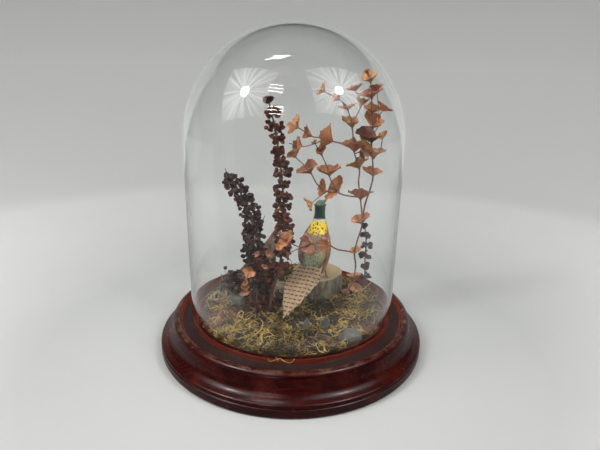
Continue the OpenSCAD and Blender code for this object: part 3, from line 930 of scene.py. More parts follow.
def stone_pieces():
    stone = river_stone()
    stones = (("stone_left", (-58, 2), (11, 7, 6.6), -15), ("stone_right", (54, -64), (10, 8, 6.6), 30))
    for i, (name, (x, y), size, turn) in enumerate(stones):
        bm = bmesh.new()
        bmesh.ops.create_icosphere(bm, subdivisions=5, radius=1)
        for v in bm.verts:
            v.co *= 1 + 0.13 * noise.noise(v.co * 1.6 + Vector((i * 5, 0, 0))) + 0.03 * noise.noise(v.co * 6)
            v.co.z = max(v.co.z, -0.35)
        shape = Matrix.Translation(mm(x, y, 35.2)) @ rotated(turn, "Z")
        bmesh.ops.transform(bm, matrix=shape @ Matrix.Diagonal((*(s * MM for s in size), 1)), verts=bm.verts)
        piece(name + "_worn", bm, stone, "stone", name, smooth=180)


def gravel_piece():
    """A heap of small tan pebbles."""
    rng = random.Random(31)
    bm = bmesh.new()
    for _ in range(150):
        r = math.sqrt(rng.random())
        a = rng.uniform(0, 2 * math.pi)
        x, y = -74 + 13.5 * r * math.cos(a), 12 + 11.5 * r * math.sin(a)
        z = 34.6 + 7.4 * (1 - r * r) * rng.uniform(0.55, 1.0)
        turn = Matrix.Rotation(rng.uniform(0, 6), 4, (rng.random(), rng.random(), 1))
        size = [rng.uniform(0.9, 2.0) * MM for _ in range(3)]
        shape = Matrix.Translation(mm(x, y, z)) @ turn @ Matrix.Diagonal((*size, 1))
        for v in bmesh.ops.create_icosphere(bm, subdivisions=2, radius=1, matrix=shape)["verts"]:
            v.co += noise.noise_vector(v.co * 700) * 0.25 * MM
    piece("gravel_pebbles", bm, tan_gravel(), "gravel", "gravel_mound", smooth=50)


# ---- the bird ----
def lofted(sections, tilt, segments):
    """A closed skin over ovals of (centre, half width, half depth), tilted about X, in millimetres."""
    bm = bmesh.new()
    rings = []
    lean = rotated(tilt, "X")
    for centre, wide, deep in sections:
        place = Matrix.Translation(mm(*centre)) @ lean @ Matrix.Diagonal((wide * MM, deep * MM, 1, 1))
        rings.append(bmesh.ops.create_circle(bm, segments=segments, radius=1, matrix=place)["verts"])
    for a, b in zip(rings, rings[1:]):
        bmesh.ops.bridge_loops(bm, edges=around(a + b))
    for ring in (rings[0], rings[-1]):
        bmesh.ops.poke(bm, faces=cap(bm, ring))
    outward(bm)
    return bm


def body_sections():
    """Oval sections up the back, from the rump to the collar, filled in between with even steps."""
    keys = (
        ((18.2, 0, 69.5), 5, 2.6), ((19, 3, 72.5), 8.6, 5.4), ((20, 5, 76.5), 11.8, 8.4),
        ((21, 8, 82), 14.2, 12), ((22, 12, 90), 15.7, 14), ((23.5, 16, 98), 14.7, 14),
        ((25, 20, 106), 12.5, 12), ((26.5, 23, 113), 9.5, 9.5), ((27.5, 25, 119.4), 6.5, 6.8),
    )
    made = []
    for (a, aw, ad), (b, bw, bd) in zip(keys, keys[1:]):
        for t in (0, 0.25, 0.5, 0.75):
            ease = t * t * (3 - 2 * t) * 0.25 + t * 0.75
            made.append((Vector(a).lerp(Vector(b), t), aw + (bw - aw) * ease, ad + (bd - ad) * ease))
    made.append(keys[-1])
    return made


def bird_pieces():
    bm = lofted(body_sections(), -24, 64)
    for v in bm.verts:
        rows = math.sin(v.co.z / MM * 2.1 + 2.2 * math.sin(v.co.x / MM * 1.7))
        v.co += v.normal * (0.16 * rows + 0.3 * noise.noise(v.co * 330)) * MM
    piece("feathered_back", bm, pheasant_back(), "painted_body", "pheasant_body", smooth=180)

    head = lofted((
        ((27.5, 25, 118.6), 6.2, 6.3), ((27.6, 25.2, 119.8), 6.7, 6.7), ((27.7, 25.4, 120.6), 6.4, 6.4),
        ((27.8, 25.8, 123), 5.8, 6.0), ((28, 26, 126), 5.5, 5.8), ((28, 26.5, 129), 5.5, 5.9),
        ((28, 27.2, 131.5), 5.8, 6.4), ((28, 27.8, 133.8), 5.8, 6.8), ((28.1, 28.2, 135.8), 5.3, 6.4),
        ((28.3, 28.6, 137.6), 4.2, 5.2),
        ((28.4, 29, 138.8), 2.6, 3.3), ((28.4, 29.1, 139.2), 1.0, 1.3)), -10, 32)
    roughen(head, 0.22 * MM, 420, 1.0)
    soften(piece("green_head", head, pheasant_cap(), "painted_head", "pheasant_head", smooth=180))

    horn = dry_stem("horn_beak", (0.12, 0.1, 0.07), (0.3, 0.26, 0.18))
    beak = [(mm(30.4, 31, 135.6), 1.9 * MM), (mm(32.4, 33, 136.9), 1.7 * MM),
            (mm(34.3, 34.8, 137.9), 1.15 * MM), (mm(35.8, 36, 138), 0.5 * MM),
            (mm(36.3, 36.4, 137.4), 0.15 * MM)]
    lower = [(mm(30.8, 31.4, 134.5), 1.2 * MM), (mm(33, 33.4, 135.6), 0.9 * MM),
             (mm(34.8, 35, 136.6), 0.3 * MM)]
    soften(piece("horn_beak", tube("horn_beak", [beak, lower], 8), horn, "beak", "pheasant_beak", smooth=180))

    eyes = bmesh.new()
    middle, back, up = EYES_MIDDLE
    for side in (-5.7, 5.7):
        bmesh.ops.create_uvsphere(eyes, u_segments=20, v_segments=12, radius=0.9 * MM,
                                  matrix=Matrix.Translation(mm(middle + side, back, up)))
    piece("eye_beads", eyes, gloss_black(), "eye", "pheasant_eyes", smooth=180)

    folded = wing_paint("left_wing_paint", (0.11, 0.055, 0.045), (0.3, 0.17, 0.12), -0.6)
    ruddy = wing_paint("right_wing_paint", (0.16, 0.055, 0.04), (0.34, 0.15, 0.1), -0.7)
    left = (((19, 20, 115.5), 0.8, 1.2), ((16.8, 18.5, 112), 2.0, 2.8), ((13.4, 15.5, 105), 3.0, 4.6),
            ((10, 11, 97), 3.4, 5.4), ((8.3, 7, 90), 3.0, 4.8), ((7.8, 4, 84), 2.2, 3.6),
            ((8, 2, 80.5), 0.9, 1.7))
    right = (((33, 21, 114.5), 0.8, 1.2), ((34.6, 18.8, 110.5), 2.0, 2.8), ((36, 14.5, 102), 3.1, 4.6),
             ((36.8, 10, 94), 3.3, 5), ((35.8, 5, 86), 2.8, 4.2), ((34, 1.5, 79.5), 2.2, 3.1),
             ((31.5, -1.5, 73.5), 1.6, 2.2), ((29.6, -3.4, 70), 0.6, 0.9))
    for name, sections, paint in (("left", left, folded), ("right", right, ruddy)):
        wing = piece("folded_wing_" + name, lofted(sections, -24, 24), paint, "painted_wing",
                     "pheasant_wing_" + name, smooth=180)
        soften(wing, 2)
    tail_piece()
    leg_pieces()


def tail_piece():
    """Long tail feathers laid side by side, each a little lower and shorter towards the edges."""
    place = mm(18.5, -0.5, 77)
    turn = (0, math.radians(29), math.radians(-114))
    local = Matrix.Translation(place) @ Matrix.Rotation(turn[2], 4, "Z") @ Matrix.Rotation(turn[1], 4, "Y")
    feathers = (
        (-10.6, 45, 2.6, 0.0), (-8.2, 53, 2.6, 0.3), (-5.4, 59, 2.6, 0.6), (-2.4, 66, 2.6, 0.9),
        (0.6, 64, 2.5, 0.7), (3.4, 55, 2.5, 0.5), (6.0, 50, 2.4, 0.3), (8.6, 40, 2.4, 0.1),
        (10.9, 30, 2.3, -0.1),
    )
    bm = bmesh.new()
    for across, reach, half, rise in feathers:
        made = bmesh.ops.create_grid(bm, x_segments=26, y_segments=6, size=1)["verts"]
        for v in made:
            t = (v.co.x + 1) / 2
            blunt = 1 - max(0.0, (t - 0.86) / 0.14) ** 2.2 * 0.72
            wide = half * (0.62 + 0.5 * math.sin(math.pi * min(1, t * 1.15)) ** 0.7) * blunt
            spread = across * (0.84 + 0.4 * math.sin(math.pi * t * 0.9)) - 0.6
            nick = 0.16 * noise.noise(Vector((t * 30, across, v.co.y)))
            x = reach * t + nick
            y = spread + v.co.y * (wide + nick)
            z = 0.9 + 0.45 * rise + 0.35 * (1 - v.co.y ** 2)
            z += 0.12 * noise.noise(Vector((x * 0.3, y * 0.4, 0)))
            v.co = Vector((x, y, z)) * MM
    outward(bm)
    bmesh.ops.solidify(bm, geom=bm.faces[:], thickness=0.7 * MM)
    bmesh.ops.transform(bm, matrix=local, verts=bm.verts)
    outward(bm)
    piece("tail_feathers", bm, tail_paint(place, turn), "painted_tail", "pheasant_tail", smooth=50)


def leg_pieces():
    wire = dry_stem("leg_wire", (0.14, 0.1, 0.06), (0.3, 0.23, 0.14))
    top = STUMP_TOP + 0.6 * MM
    for name, hip, foot in (("left", (17, 17, 76), (15, 20)), ("right", (33, 16, 77), (36, 16))):
        ankle = Vector((foot[0] * MM, foot[1] * MM, top))
        knee = mm(*hip).lerp(ankle, 0.45) + mm(0.6, 1.2, 0)
        paths = [[(mm(*hip), 1.5 * MM), (knee, 1.0 * MM), (ankle, 0.8 * MM)]]
        for way in (200, 255, 310, 75):
            toe = ankle + polar(3.6 * MM, way + 8) + UP * 0.4 * MM
            paths.append([(ankle, 0.75 * MM), (toe, 0.62 * MM), (ankle + polar(7 * MM, way), 0.34 * MM)])
        foot_piece = piece("leg_wire_" + name, tube("leg_wire_" + name, paths, 6), wire, "leg_wire",
                           "pheasant_leg_" + name, smooth=180)
        soften(foot_piece)


# ---- dried dock stalks ----
def dock_seed():
    """One dock seed at the origin: three rounded papery wings round a small nut."""
    bm = bmesh.new()
    for turn in (0, 120, 240):
        made = bmesh.ops.create_circle(bm, cap_ends=True, segments=12, radius=2.3 * MM)["verts"]
        wing = list({f for v in made for f in v.link_faces})
        parts = made + wing + list({e for v in made for e in v.link_edges})
        half = bmesh.ops.bisect_plane(bm, geom=parts, plane_co=(0, 0, 0), plane_no=(1, 0, 0),
                                      clear_inner=True)
        kept = [g for g in half["geom"] if isinstance(g, bmesh.types.BMVert)]
        stand = rotated(turn, "Z") @ rotated(90, "X")
        bmesh.ops.transform(bm, matrix=stand, verts=kept)
    bmesh.ops.solidify(bm, geom=bm.faces[:], thickness=0.35 * MM)
    shape = Matrix.Diagonal((1.0 * MM, 1.0 * MM, 1.5 * MM, 1))
    bmesh.ops.create_icosphere(bm, subdivisions=1, radius=1, matrix=shape)
    return mesh_of("dock_seed", bm)


def set_seed(bm, template, place):
    """Adds a copy of the seed at its place."""
    before = len(bm.verts)
    bm.from_mesh(template)
    bm.verts.ensure_lookup_table()
    bmesh.ops.transform(bm, matrix=place, verts=bm.verts[before:])


def facing(way, roll=0.0):
    """A turn that sets +Z along a direction."""
    return way.to_track_quat("Z", "Y").to_matrix().to_4x4() @ Matrix.Rotation(roll, 4, "Z")


def dock(name, path, husk, twig, seed, whorls, spread, seeds, start=0.2, thick=1.25, extra=()):
    """A stalk with whorls of stalked seeds from part-way up to its tip."""
    rng = random.Random(seed)
    line = smooth_path(path, 6)
    template = dock_seed()
    bm = bmesh.new()
    stalks = [tapered(line, thick * MM, 0.55 * thick * MM, 0.12, rng)]
    for w in range(whorls):
        full = 1 - 0.35 * w / whorls
        bunch = rng.uniform(0.75, 1.2)
        for _ in range(int(seeds * full * rng.uniform(0.75, 1.15))):
            t = start + (1 - start) * (w + rng.uniform(-0.22, 0.22)) / (whorls - 1)
            at, way = on_line(line, t)
            near = 0.4 if w == whorls - 1 else 1.0
            reach = spread * near * rng.uniform(0.3, 1.0) * bunch * (1.1 - 0.3 * w / whorls) * MM
            out = polar(1, rng.uniform(0, 360))
            out = (out + UP * rng.uniform(-0.5, 0.55)).normalized()
            tip = at + out * reach
            size = rng.uniform(0.8, 1.2)
            hang = (out + UP * rng.uniform(-0.7, 0.3)).normalized()
            place = Matrix.Translation(tip) @ facing(hang, rng.uniform(0, 6)) @ Matrix.Scale(size, 4)
            set_seed(bm, template, place)
            middle = at.lerp(tip, 0.55) + UP * 0.5 * MM
            stalks.append([(at, 0.3 * MM), (middle, 0.22 * MM), (tip, 0.25 * MM)])
    bpy.data.meshes.remove(template)
    for branch in extra:
        stalks.append(tapered(smooth_path(branch, 4), 0.6 * MM, 0.35 * MM, 0.2, rng))
    slot = "dock_red" if name == "tall" else "dock_grey"
    piece(f"dock_{name}_seeds", bm, husk, slot, f"dock_stalk_{name}", smooth=35)
    piece(f"dock_{name}_stem", tube(f"dock_{name}_stem", stalks, 6), twig, slot, smooth=180)


def dock_pieces():
    red = dock_husk("red_husk", (0.014, 0.0024, 0.0013), (0.07, 0.013, 0.0045), (0.24, 0.06, 0.017))
    grey = dock_husk("grey_husk", (0.011, 0.0036, 0.0038), (0.036, 0.011, 0.0105), (0.12, 0.042, 0.027))
    bark = dry_stem("dock_stem", (0.035, 0.014, 0.01), (0.13, 0.06, 0.035))
    dusty = dry_stem("grey_dock_stem", (0.03, 0.02, 0.019), (0.1, 0.065, 0.055))
    tall = [(-24, -24, 33), (-16, -21, 70), (-9, -18, 106), (-9, -14, 132), (-10, -10, 158), (-13, -7, 184),
            (-17, -4, 210), (-24, 0, 240)]
    left = [(-36, -25, 33), (-34, -21, 60), (-37, -16, 88), (-38, -12, 110), (-40, -8, 130), (-50, -4, 151),
            (-61, -2, 169)]
    back = [(82, 30, 34), (81, 31, 52), (80, 32, 74), (80, 32, 92), (77, 31, 112)]
    dock("tall", tall, red, bark, 4, whorls=15, spread=9.6, seeds=40)
    side = ((-38, -12, 112), (-32, -12, 122), (-27, -13, 133))
    bare = ((-59, -2, 164), (-63, -2, 171), (-65.5, -2, 176))
    dock("left", left, grey, dusty, 9, whorls=13, spread=12.2, seeds=50, extra=(side, bare))
    dock("back", back, grey, dusty, 2, whorls=6, spread=5.4, seeds=17, start=0.25, thick=1.0)
    tuft_piece(bark)
    loose_seeds("dock_tuft_seeds", red, 61, (
        ((-33, -17, 84), (11, 8, 12), 90), ((-24, -17, 76), (9, 7, 14), 90), ((-29, -15, 62), (9, 7, 10), 60),
        ((-33, -18, 46), (10, 8, 8), 70)), "dock_red")
    loose_seeds("dark_seed_sprig", grey, 62, (
        ((-64, 20, 56), (10, 5, 8), 45), ((-56, 20, 47), (9, 5, 7), 35),
        ((-70, 16, 49), (7, 5, 6), 25)), "dock_grey")


def tuft_piece(bark):
    """Broken stems and torn shreds that stand between the two tall stalks."""
    rng = random.Random(17)
    paths = []
    for i in range(9):
        foot = mm(-31 + 1.8 * i, -12 + 5 * math.sin(math.radians(100 * i)), 34)
        height = 70 + 14 * math.cos(math.radians(75 * i))
        top = mm(-37 + 3.1 * i, -10 + 7 * math.sin(math.radians(130 * i)), height)
        for shred in range(3):
            end = foot.lerp(top, rng.uniform(0.6, 1.0))
            sway = Vector((rng.uniform(-1, 1), rng.uniform(-1, 1), 0)) * (0.6 + shred) * 1.2 * MM
            line = [foot + sway * 0.5, foot.lerp(end, 0.35) + sway, foot.lerp(end, 0.7) - sway * 0.4,
                    end + sway]
            thick = (1.15, 0.8, 0.5)[shred] * MM
            paths.append(tapered(smooth_path([p / MM for p in line], 4), thick, thick * 0.55, 0.25, rng))
    piece("dock_broken_stems", tube("dock_broken_stems", paths, 6), bark, "dock_red", "dock_tuft", smooth=60)


def loose_seeds(name, husk, seed, spots, slot):
    """Seeds that cling in bunches; spots holds (centre, spread, how many), in millimetres."""
    rng = random.Random(seed)
    template = dock_seed()
    bm = bmesh.new()
    for centre, spread, count in spots:
        for _ in range(count):
            away = Vector([rng.gauss(0, 0.5) * s for s in spread])
            tip = (Vector(centre) + away) * MM
            tip.z = max(tip.z, ground_height(tip.x, tip.y) + 2 * MM)
            out = Vector((rng.uniform(-1, 1), rng.uniform(-1, 1), rng.uniform(-0.6, 1)))
            face = facing(out, rng.uniform(0, 6))
            set_seed(bm, template, Matrix.Translation(tip) @ face @ Matrix.Scale(rng.uniform(0.7, 1.1), 4))
    bpy.data.meshes.remove(template)
    piece(name, bm, husk, slot, smooth=35)


# ---- eucalyptus ----
LEAF_RINGS = (0.07, 0.2, 0.38, 0.56, 0.74, 0.88, 1.0)


def add_leaf(bm, place, size, rng, fold=None, crumple=1.0):
    """A cup of two joined leaves with a pointed tip at each side; the stem runs up through its middle."""
    layers = bm.verts.layers.float
    along, side, tone = (layers.get(name) or layers.new(name) for name in ("leaf_u", "leaf_v", "leaf_tone"))
    rings = [bmesh.ops.create_circle(bm, segments=36, radius=r)["verts"] for r in LEAF_RINGS]
    for a, b in zip(rings, rings[1:]):
        bmesh.ops.bridge_loops(bm, edges=around(a + b))
    verts = [v for ring in rings for v in ring]
    fold = rng.uniform(0.35, 0.95) if fold is None else fold
    lean = rng.uniform(-0.2, 0.2)
    curl = rng.uniform(-0.05, 0.35)
    seed = Vector((rng.uniform(0, 90), rng.uniform(0, 90), 0))
    broad = rng.uniform(0.6, 0.82)
    own = rng.random()
    for v in verts:
        r = v.co.length
        a = math.atan2(v.co.y, v.co.x)
        c, s = math.cos(a), math.sin(a)
        tip = abs(c) ** 5
        ragged = noise.noise(seed + Vector((c * 1.6, s * 1.6, 1)))
        ragged += 0.5 * noise.noise(seed + Vector((c * 6, s * 6, 3)))
        edge = broad + (1 - broad) * tip + 0.1 * ragged * crumple
        reach = r * edge
        steep = 0.62 + 0.3 * fold + 0.6 * fold * s * s + lean * s
        x = reach * c
        y = reach * s * (1 - 0.38 * fold)
        z = reach * steep * (1 - 0.18 * r) - curl * tip * r ** 4 * 0.4
        wave = abs(noise.noise(seed + Vector((x * 2.4, y * 2.4, 0)))) - 0.2
        z += crumple * r * (0.3 * wave + 0.09 * noise.noise(seed + Vector((x * 7, y * 7, 5))))
        v[along] = c * r
        v[side] = s * r
        v[tone] = own
        v.co = place @ (Vector((x, y, z)) * size)
    return verts


def leaf_piece(name, node, bm, leaf):
    """Gives leaves their thickness, and makes them one piece."""
    outward(bm)
    bmesh.ops.solidify(bm, geom=bm.faces[:], thickness=LEAF_T)
    piece(name, bm, leaf, "dry_leaf", node, smooth=60)


def leafy(name, sprigs, leaf, twig, seed, crumple=1.0):
    """Stems with cupped leaves; a sprig is a list of (x, y, z, leaf size), with 0 where there is no leaf."""
    node = "eucalyptus_" + name
    rng = random.Random(seed)
    bm = bmesh.new()
    stems = []
    for points, thick, thin, turn in sprigs:
        line = smooth_path(points, 5)
        stems.append(tapered(line, thick * MM, thin * MM, 0.08, rng))
        for i, point in enumerate(points):
            if point[3] == 0:
                continue
            at, way = on_line(line, i / (len(points) - 1))
            way = way + Vector((rng.uniform(-0.35, 0.35), rng.uniform(-0.45, 0.15), rng.uniform(-0.1, 0.4)))
            way.normalize()
            twist = math.radians(turn + 47 * i) + rng.uniform(-0.3, 0.3)
            size = point[3] * rng.uniform(1.05, 1.25) * MM
            add_leaf(bm, Matrix.Translation(at) @ facing(way, twist), size, rng, crumple=crumple)
        for point in points[1:-1]:
            joint = Vector(point[:3]) * MM
            stems.append([(joint - UP * 0.5 * MM, thick * 0.9 * MM), (joint, thick * 1.25 * MM),
                          (joint + UP * 0.5 * MM, thick * 0.9 * MM)])
    leaf_piece(name + "_leaves", node, bm, leaf)
    piece(name + "_stems", tube(name + "_stems", stems, 8), twig, "dry_leaf", smooth=180)


def eucalyptus_pieces(leaf):
    twig = dry_stem("eucalyptus_stem", (0.055, 0.028, 0.02), (0.2, 0.1, 0.06))
    main = [(49, 6, 34, 0), (58, 7, 46, 0), (64, 8, 58, 9), (66, 8, 74, 0), (64, 8, 88, 8), (66, 8, 102, 0),
            (70, 8, 120, 10), (67, 8, 145, 11), (64, 8, 162, 0), (64, 8, 176, 11), (58, 8, 192, 13),
            (55, 8, 214, 11),
            (50, 8, 231, 8), (42, 8, 240, 8), (28, 8, 247, 8)]
    top = [(70, 8, 121, 0), (72, 9, 140, 0), (76, 8, 156, 0), (78, 8, 169, 10), (76, 7, 187, 12.5),
           (74, 6, 201, 10),
           (74, 5, 215, 13), (72, 4, 229, 8), (71, 3, 242, 10), (69, 2, 256, 8), (66, 2, 266, 3)]
    top_twig = [(77, 7, 186, 0), (83, 6, 195, 0), (84, 5, 205, 7)]
    lower = [(66, 8, 148, 0), (55, 7, 149, 0), (45, 7, 152, 12.5), (39, 8, 160, 0), (35, 9, 168, 12.5),
             (31, 9, 180, 0), (27, 9, 188, 8), (21, 9, 198, 5)]
    lower_twig = [(43, 7, 153, 0), (32, 5, 154, 10), (23, 4, 161, 0), (17, 4, 171, 12.5), (9, 5, 180, 0),
                  (2, 6, 186, 9)]
    head_twig = [(40, 8, 158, 0), (31, 6, 152, 0), (25, 4, 148, 0), (19, 3, 143, 7.5)]
    upper = [(57, 8, 196, 0), (46, 7, 200, 0), (37, 6, 202, 12.5), (27, 6, 205, 0), (18, 6, 206, 10.5),
             (11, 6, 210, 0),
             (4, 6, 214, 9)]
    upper_twig = [(26, 6, 203, 0), (20, 4, 200, 0), (8, 3, 197, 8), (-5, 3, 200, 0)]
    low = [(64, 8, 89, 0), (54, -3, 95, 0), (44, -10, 99, 0), (36, -15, 105, 10), (27, -17, 107, 0),
           (19, -18, 108, 10), (9, -22, 105, 0), (2, -27, 109, 0), (-5, -32, 114, 9)]
    droop = [(9, -22, 105, 0), (4, -25, 104, 0), (-3, -27, 101, 6)]
    pale_twig = [(55, 8, 214, 0), (57, 7, 224, 0), (61, 6, 233, 10), (60, 5, 242, 0), (56, 5, 248, 7)]
    right_twig = [(74, 5, 218, 0), (78, 3, 224, 0), (81, 2, 231, 8)]
    inner_twig = [(76, 7, 187, 0), (71, 4, 195, 0), (68, 2, 204, 11)]
    crossing = [(58, 8, 190, 0), (66, 5, 195, 9), (72, 4, 206, 0), (79, 3, 219, 7), (77, 3, 240, 0),
                (75, 3, 249, 8)]
    dark_twig = [(60, 8, 186, 0), (63, 5, 188, 5), (65, 4, 191, 6)]
    leafy("sprig_main", [(main, 0.9, 0.6, 20), (pale_twig, 0.6, 0.4, 60), (dark_twig, 0.6, 0.4, 10),
                         (crossing, 0.5, 0.35, 45)], leaf, twig, 41)
    leafy("sprig_top", [(top, 0.9, 0.5, 20), (top_twig, 0.6, 0.5, -30), (right_twig, 0.5, 0.4, 0),
                        (inner_twig, 0.5, 0.4, 80)], leaf, twig, 42)
    leafy("branch_upper", [(upper, 0.8, 0.5, 0), (upper_twig, 0.6, 0.4, 40)], leaf, twig, 43)
    leafy("branch_lower", [(lower, 0.8, 0.5, 10), (lower_twig, 0.7, 0.5, 70), (head_twig, 0.5, 0.4, 30)],
          leaf, twig, 44)
    leafy("branch_low", [(low, 0.8, 0.5, 55), (droop, 0.5, 0.4, 0)], leaf, twig, 48, 2.2)


def loose_leaves(name, node, leaf, seed, laid, fold, crumple=1.0):
    """Single leaves; laid holds each one's place, size and turns about X, Y and Z."""
    rng = random.Random(seed)
    bm = bmesh.new()
    for at, size, (x, y, z) in laid:
        turn = rotated(z, "Z") @ rotated(y, "Y") @ rotated(x, "X")
        add_leaf(bm, Matrix.Translation(mm(*at)) @ turn, size * MM, rng, fold, crumple)
    leaf_piece(name, node, bm, leaf)


def fallen_leaves(leaf):
    """Two leaves by the left stones, two at the foot of the right sprig, and scraps caught in the dock."""
    loose_leaves("fallen_leaves", "leaf_litter", leaf, 50, (
        ((-50, 22, 43), 8, (70, 10, 20)), ((-50, 12, 41), 6, (80, -20, 0)), ((70, 20, 43), 9, (50, 12, -30)),
        ((58, 12, 40), 6, (65, -30, 200)),
    ), 0.5)
    loose_leaves("dock_caught_leaves", "dock_tuft", leaf, 57, (
        ((-41, -28, 82), 6.5, (75, 25, 0)), ((-23, -28, 101), 3.6, (80, 70, 0)),
        ((-33, -28, 100), 3.2, (60, -60, 10)), ((-45, -28, 70), 4, (75, -40, 0)),
        ((-27, -29, 88), 3.5, (80, 30, 20)),
    ), 0.4, 2.0)


def small_twigs():
    rng = random.Random(52)
    red = dry_stem("red_stem", (0.09, 0.02, 0.014), (0.26, 0.09, 0.06))
    line = smooth_path([(-66, -60, 33), (-65, -56, 40), (-66, -52, 47), (-65, -48, 53)], 5)
    paths = [tapered(line, 0.75 * MM, 0.4 * MM, 0.1, rng)]
    for i in range(22):
        at, way = on_line(line, 0.25 + 0.75 * i / 21)
        out = polar(2.4 * MM, 137 * i) + UP * rng.uniform(0.4, 1.6) * MM
        paths.append([(at, 0.28 * MM), (at + out * 0.6, 0.35 * MM), (at + out, 0.12 * MM)])
    piece("red_seed_sprig", tube("red_seed_sprig", paths, 6), red, "red_stem", "red_sprig", smooth=180)

    brown = dry_stem("twig_bark", (0.08, 0.055, 0.04), (0.22, 0.17, 0.12))
    line = smooth_path([(-74, 20, 38), (-75, 21, 48), (-77, 22, 57)], 6)
    paths = [tapered(line, 1.05 * MM, 0.7 * MM, 0.2, rng)]
    fork = smooth_path([(-75, 21, 46), (-72.5, 20.5, 50), (-71.5, 21, 54)], 3)
    paths.append(tapered(fork, 0.6 * MM, 0.35 * MM))
    piece("left_twig", tube("left_twig", paths, 6), brown, "twig", "twig_left", smooth=180)


# ---- stage, lamps and camera ----
def backdrop():
    """A seamless pale floor that curves up into a wall on every side.

    Rays mirrored by the glass find it dark but for a painted reflection of a lit wall behind and of a table,
    as in a dim room, and rays bent by the glass find its floor a little brighter, as a faint painted glow.
    """
    floor = -0.2 * MM
    wall_r = 1.5
    curve_r = 0.7
    wall_top = 2.4
    beyond = 4.0
    below = -1.0
    unlit_paper = (0.02, 0.02, 0.02)
    f = Finish("pale_paper")
    paper = f.ramp(f.noise(3, 3, 0.5), (0.3, (0.375, 0.375, 0.365)), (0.7, (0.4, 0.4, 0.39)))
    _, y, z = f.axes()
    # Painted shade: the paper is coloured darker on the floor round the middle, where the lamps shine
    # brightest, and darker towards the top of the wall.
    paper = f.mix(f.fade(f.radius(), 0.25, 0.7), paper, (0.8, 0.8, 0.785))
    paper = f.mix(f.fade(z, 0.3, 1.0), paper, (0.62, 0.62, 0.605))
    # Painted reflection: rays mirrored by the glass see the paper nearly black, except the wall behind and,
    # in part, the floor behind the dome, which stand for a lit wall and a table.
    path = f.node("LightPath")
    mirrored = f.calc("MINIMUM", path.outputs["Glossy Depth"], 1.0)
    lit = f.times(f.band(y, 0.82, beyond, 0.05), f.band(z, below, 1.12, 0.05))
    reflected_table = f.times(f.band(y, -0.12, beyond, 0.08), f.band(z, below, 0.12, 0.04))
    unlit = f.minus(1.0, f.calc("MAXIMUM", lit, f.times(reflected_table, 0.65)))
    paper = f.mix(f.times(f.times(mirrored, unlit), 0.85), paper, unlit_paper)
    # Painted shade: rays that bounce off other surfaces see the paper at about half its colour, which cuts
    # the fill light it throws back.
    paper = f.mix(f.times(path.outputs["Is Diffuse Ray"], 0.5), paper, unlit_paper)
    # Painted light: the paper glows where rays mirrored by the glass see the lit wall, and its floor glows
    # faintly to rays bent by the glass.
    f.set(Base_Color=paper, Roughness=0.75, Emission_Color=(0.9, 0.94, 0.93))
    bent = f.calc("MINIMUM", path.outputs["Transmission Depth"], 1.0)
    bent = f.times(f.times(bent, f.minus(1.0, mirrored)), f.band(z, below, 0.12, 0.1))
    shine = f.times(f.times(mirrored, lit), 0.19)
    f.set(Emission_Strength=f.plus(shine, f.times(bent, 0.05)))
    f.bump(f.noise(900, 4, 0.6), 0.05 * MM, 0.4)
    profile = [(0, floor), (0.4, floor)] + arc((wall_r - curve_r, curve_r + floor), curve_r, -90, 0, 20)
    bm = turned(profile + [(wall_r, wall_top)], 120)
    bmesh.ops.reverse_faces(bm, faces=bm.faces)
    shown("paper_sweep", mesh_of("paper_sweep", bm), f.material)


def creased_cloth(light):
    """The front of a soft box: brightest at its middle, with folds that run out from there."""
    light.use_nodes = True
    f = Nodes(light.node_tree)
    glow = next(n for n in f.tree.nodes if n.type == "EMISSION")
    off = f.vector("SUBTRACT", f.node("NewGeometry").outputs["Parametric"], (0.5, 0.5, 0))
    folds = f.fade(f.noise(8, 3, 0.5, f.vector("NORMALIZE", off)), 0.38, 0.64, 0.25, 2.1)
    halo = f.fade(f.vector("LENGTH", off), 0.05, 0.62, 2.0, 0.5)
    f.link(f.times(folds, halo), glow.inputs["Strength"])


def lamp(name, size, spot, power, roll=0.0, shape="RECTANGLE"):
    """A flat lamp at a bearing, height angle and distance from the middle of the scene, which it faces."""
    bearing, height, away = (math.radians(spot[0]), math.radians(spot[1]), spot[2])
    level = math.cos(height)
    way = Vector((math.sin(bearing) * level, -math.cos(bearing) * level, math.sin(height)))
    light = bpy.data.lights.new(name, "AREA")
    light.shape = shape
    light.size, light.size_y = size
    light.energy = power
    made = bpy.data.objects.new(name, light)
    made.location = Vector((0, 0, 0.17)) + way * away
    made.rotation_euler = (way.to_track_quat("Z", "Y") @ Quaternion((0, 0, 1), math.radians(roll))).to_euler()
    made.visible_camera = False
    made.visible_transmission = False
    bpy.context.scene.collection.objects.link(made)
    return light


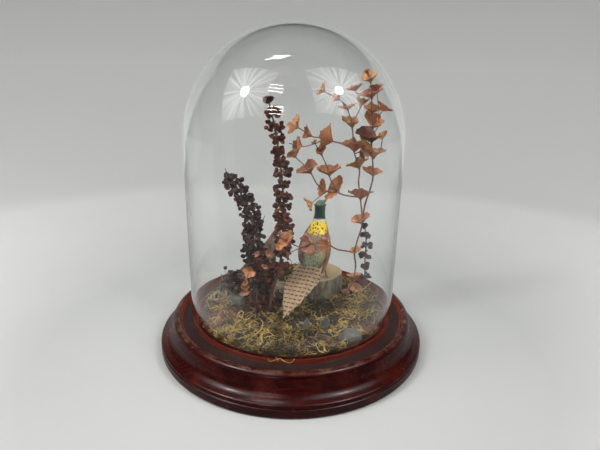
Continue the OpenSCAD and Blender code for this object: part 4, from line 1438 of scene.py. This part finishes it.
def lamps():
    """Two soft boxes with their bulbs, and three groups of three tubes under the ceiling."""
    creased_cloth(lamp("left_softbox", (0.72, 0.72), (-60, 42.5, 0.95), 4.9, 20))
    creased_cloth(lamp("right_softbox", (0.8, 0.72), (55, 46, 0.95), 4.7, -24))
    lamp("left_bulb", (0.115, 0.13), (-60, 42.5, 0.93), 3.4, 20, "ELLIPSE")
    lamp("right_bulb", (0.115, 0.105), (55, 46, 0.93), 2.5, 0, "ELLIPSE")
    for bearing, height, roll in ((-75, 78, 60), (-24, 52, 0), (-19, 33, 0)):
        for strip in (-3.1, 0, 3.1):
            lamp("ceiling_tube", (0.28, 0.012), (bearing, height + strip, 1.25), 0.55, roll)
    world = bpy.data.worlds.new("soft_room")
    world.use_nodes = True
    sky = world.node_tree.nodes["Background"]
    sky.inputs["Color"].default_value = (0.93, 0.96, 0.95, 1)
    sky.inputs["Strength"].default_value = 0.13
    bpy.context.scene.world = world


def camera():
    """A camera in front of the dome that looks down a little, turned and tilted by about a degree."""
    place = mm(0, -426.1, 252)
    pitch, yaw, roll = (math.radians(a) for a in (17.19, 0.936, 1.13))
    ahead = Vector((math.sin(yaw) * math.cos(pitch), math.cos(yaw) * math.cos(pitch), -math.sin(pitch)))
    right = Vector((math.cos(yaw), -math.sin(yaw), 0))
    up = right.cross(ahead)
    tilted_right = right * math.cos(roll) + up * math.sin(roll)
    tilted_up = up * math.cos(roll) - right * math.sin(roll)
    data = bpy.data.cameras.new("camera")
    data.lens = 27
    data.sensor_width = 36
    data.clip_start = 0.01
    made = bpy.data.objects.new("camera", data)
    turn = Matrix((tilted_right, tilted_up, -ahead)).transposed().to_4x4()
    made.matrix_world = Matrix.Translation(place) @ turn
    bpy.context.scene.collection.objects.link(made)
    bpy.context.scene.camera = made


bpy.context.scene.view_settings.view_transform = "Standard"
camera()
backdrop()
lamps()
base_pieces()
glass_piece()
moss_ground()
moss_pieces()
stump_piece()
log_piece()
slab_piece()
chip_pieces()
stone_pieces()
gravel_piece()
bird_pieces()
dock_pieces()
dried_leaf = dry_leaf()
eucalyptus_pieces(dried_leaf)
fallen_leaves(dried_leaf)
small_twigs()
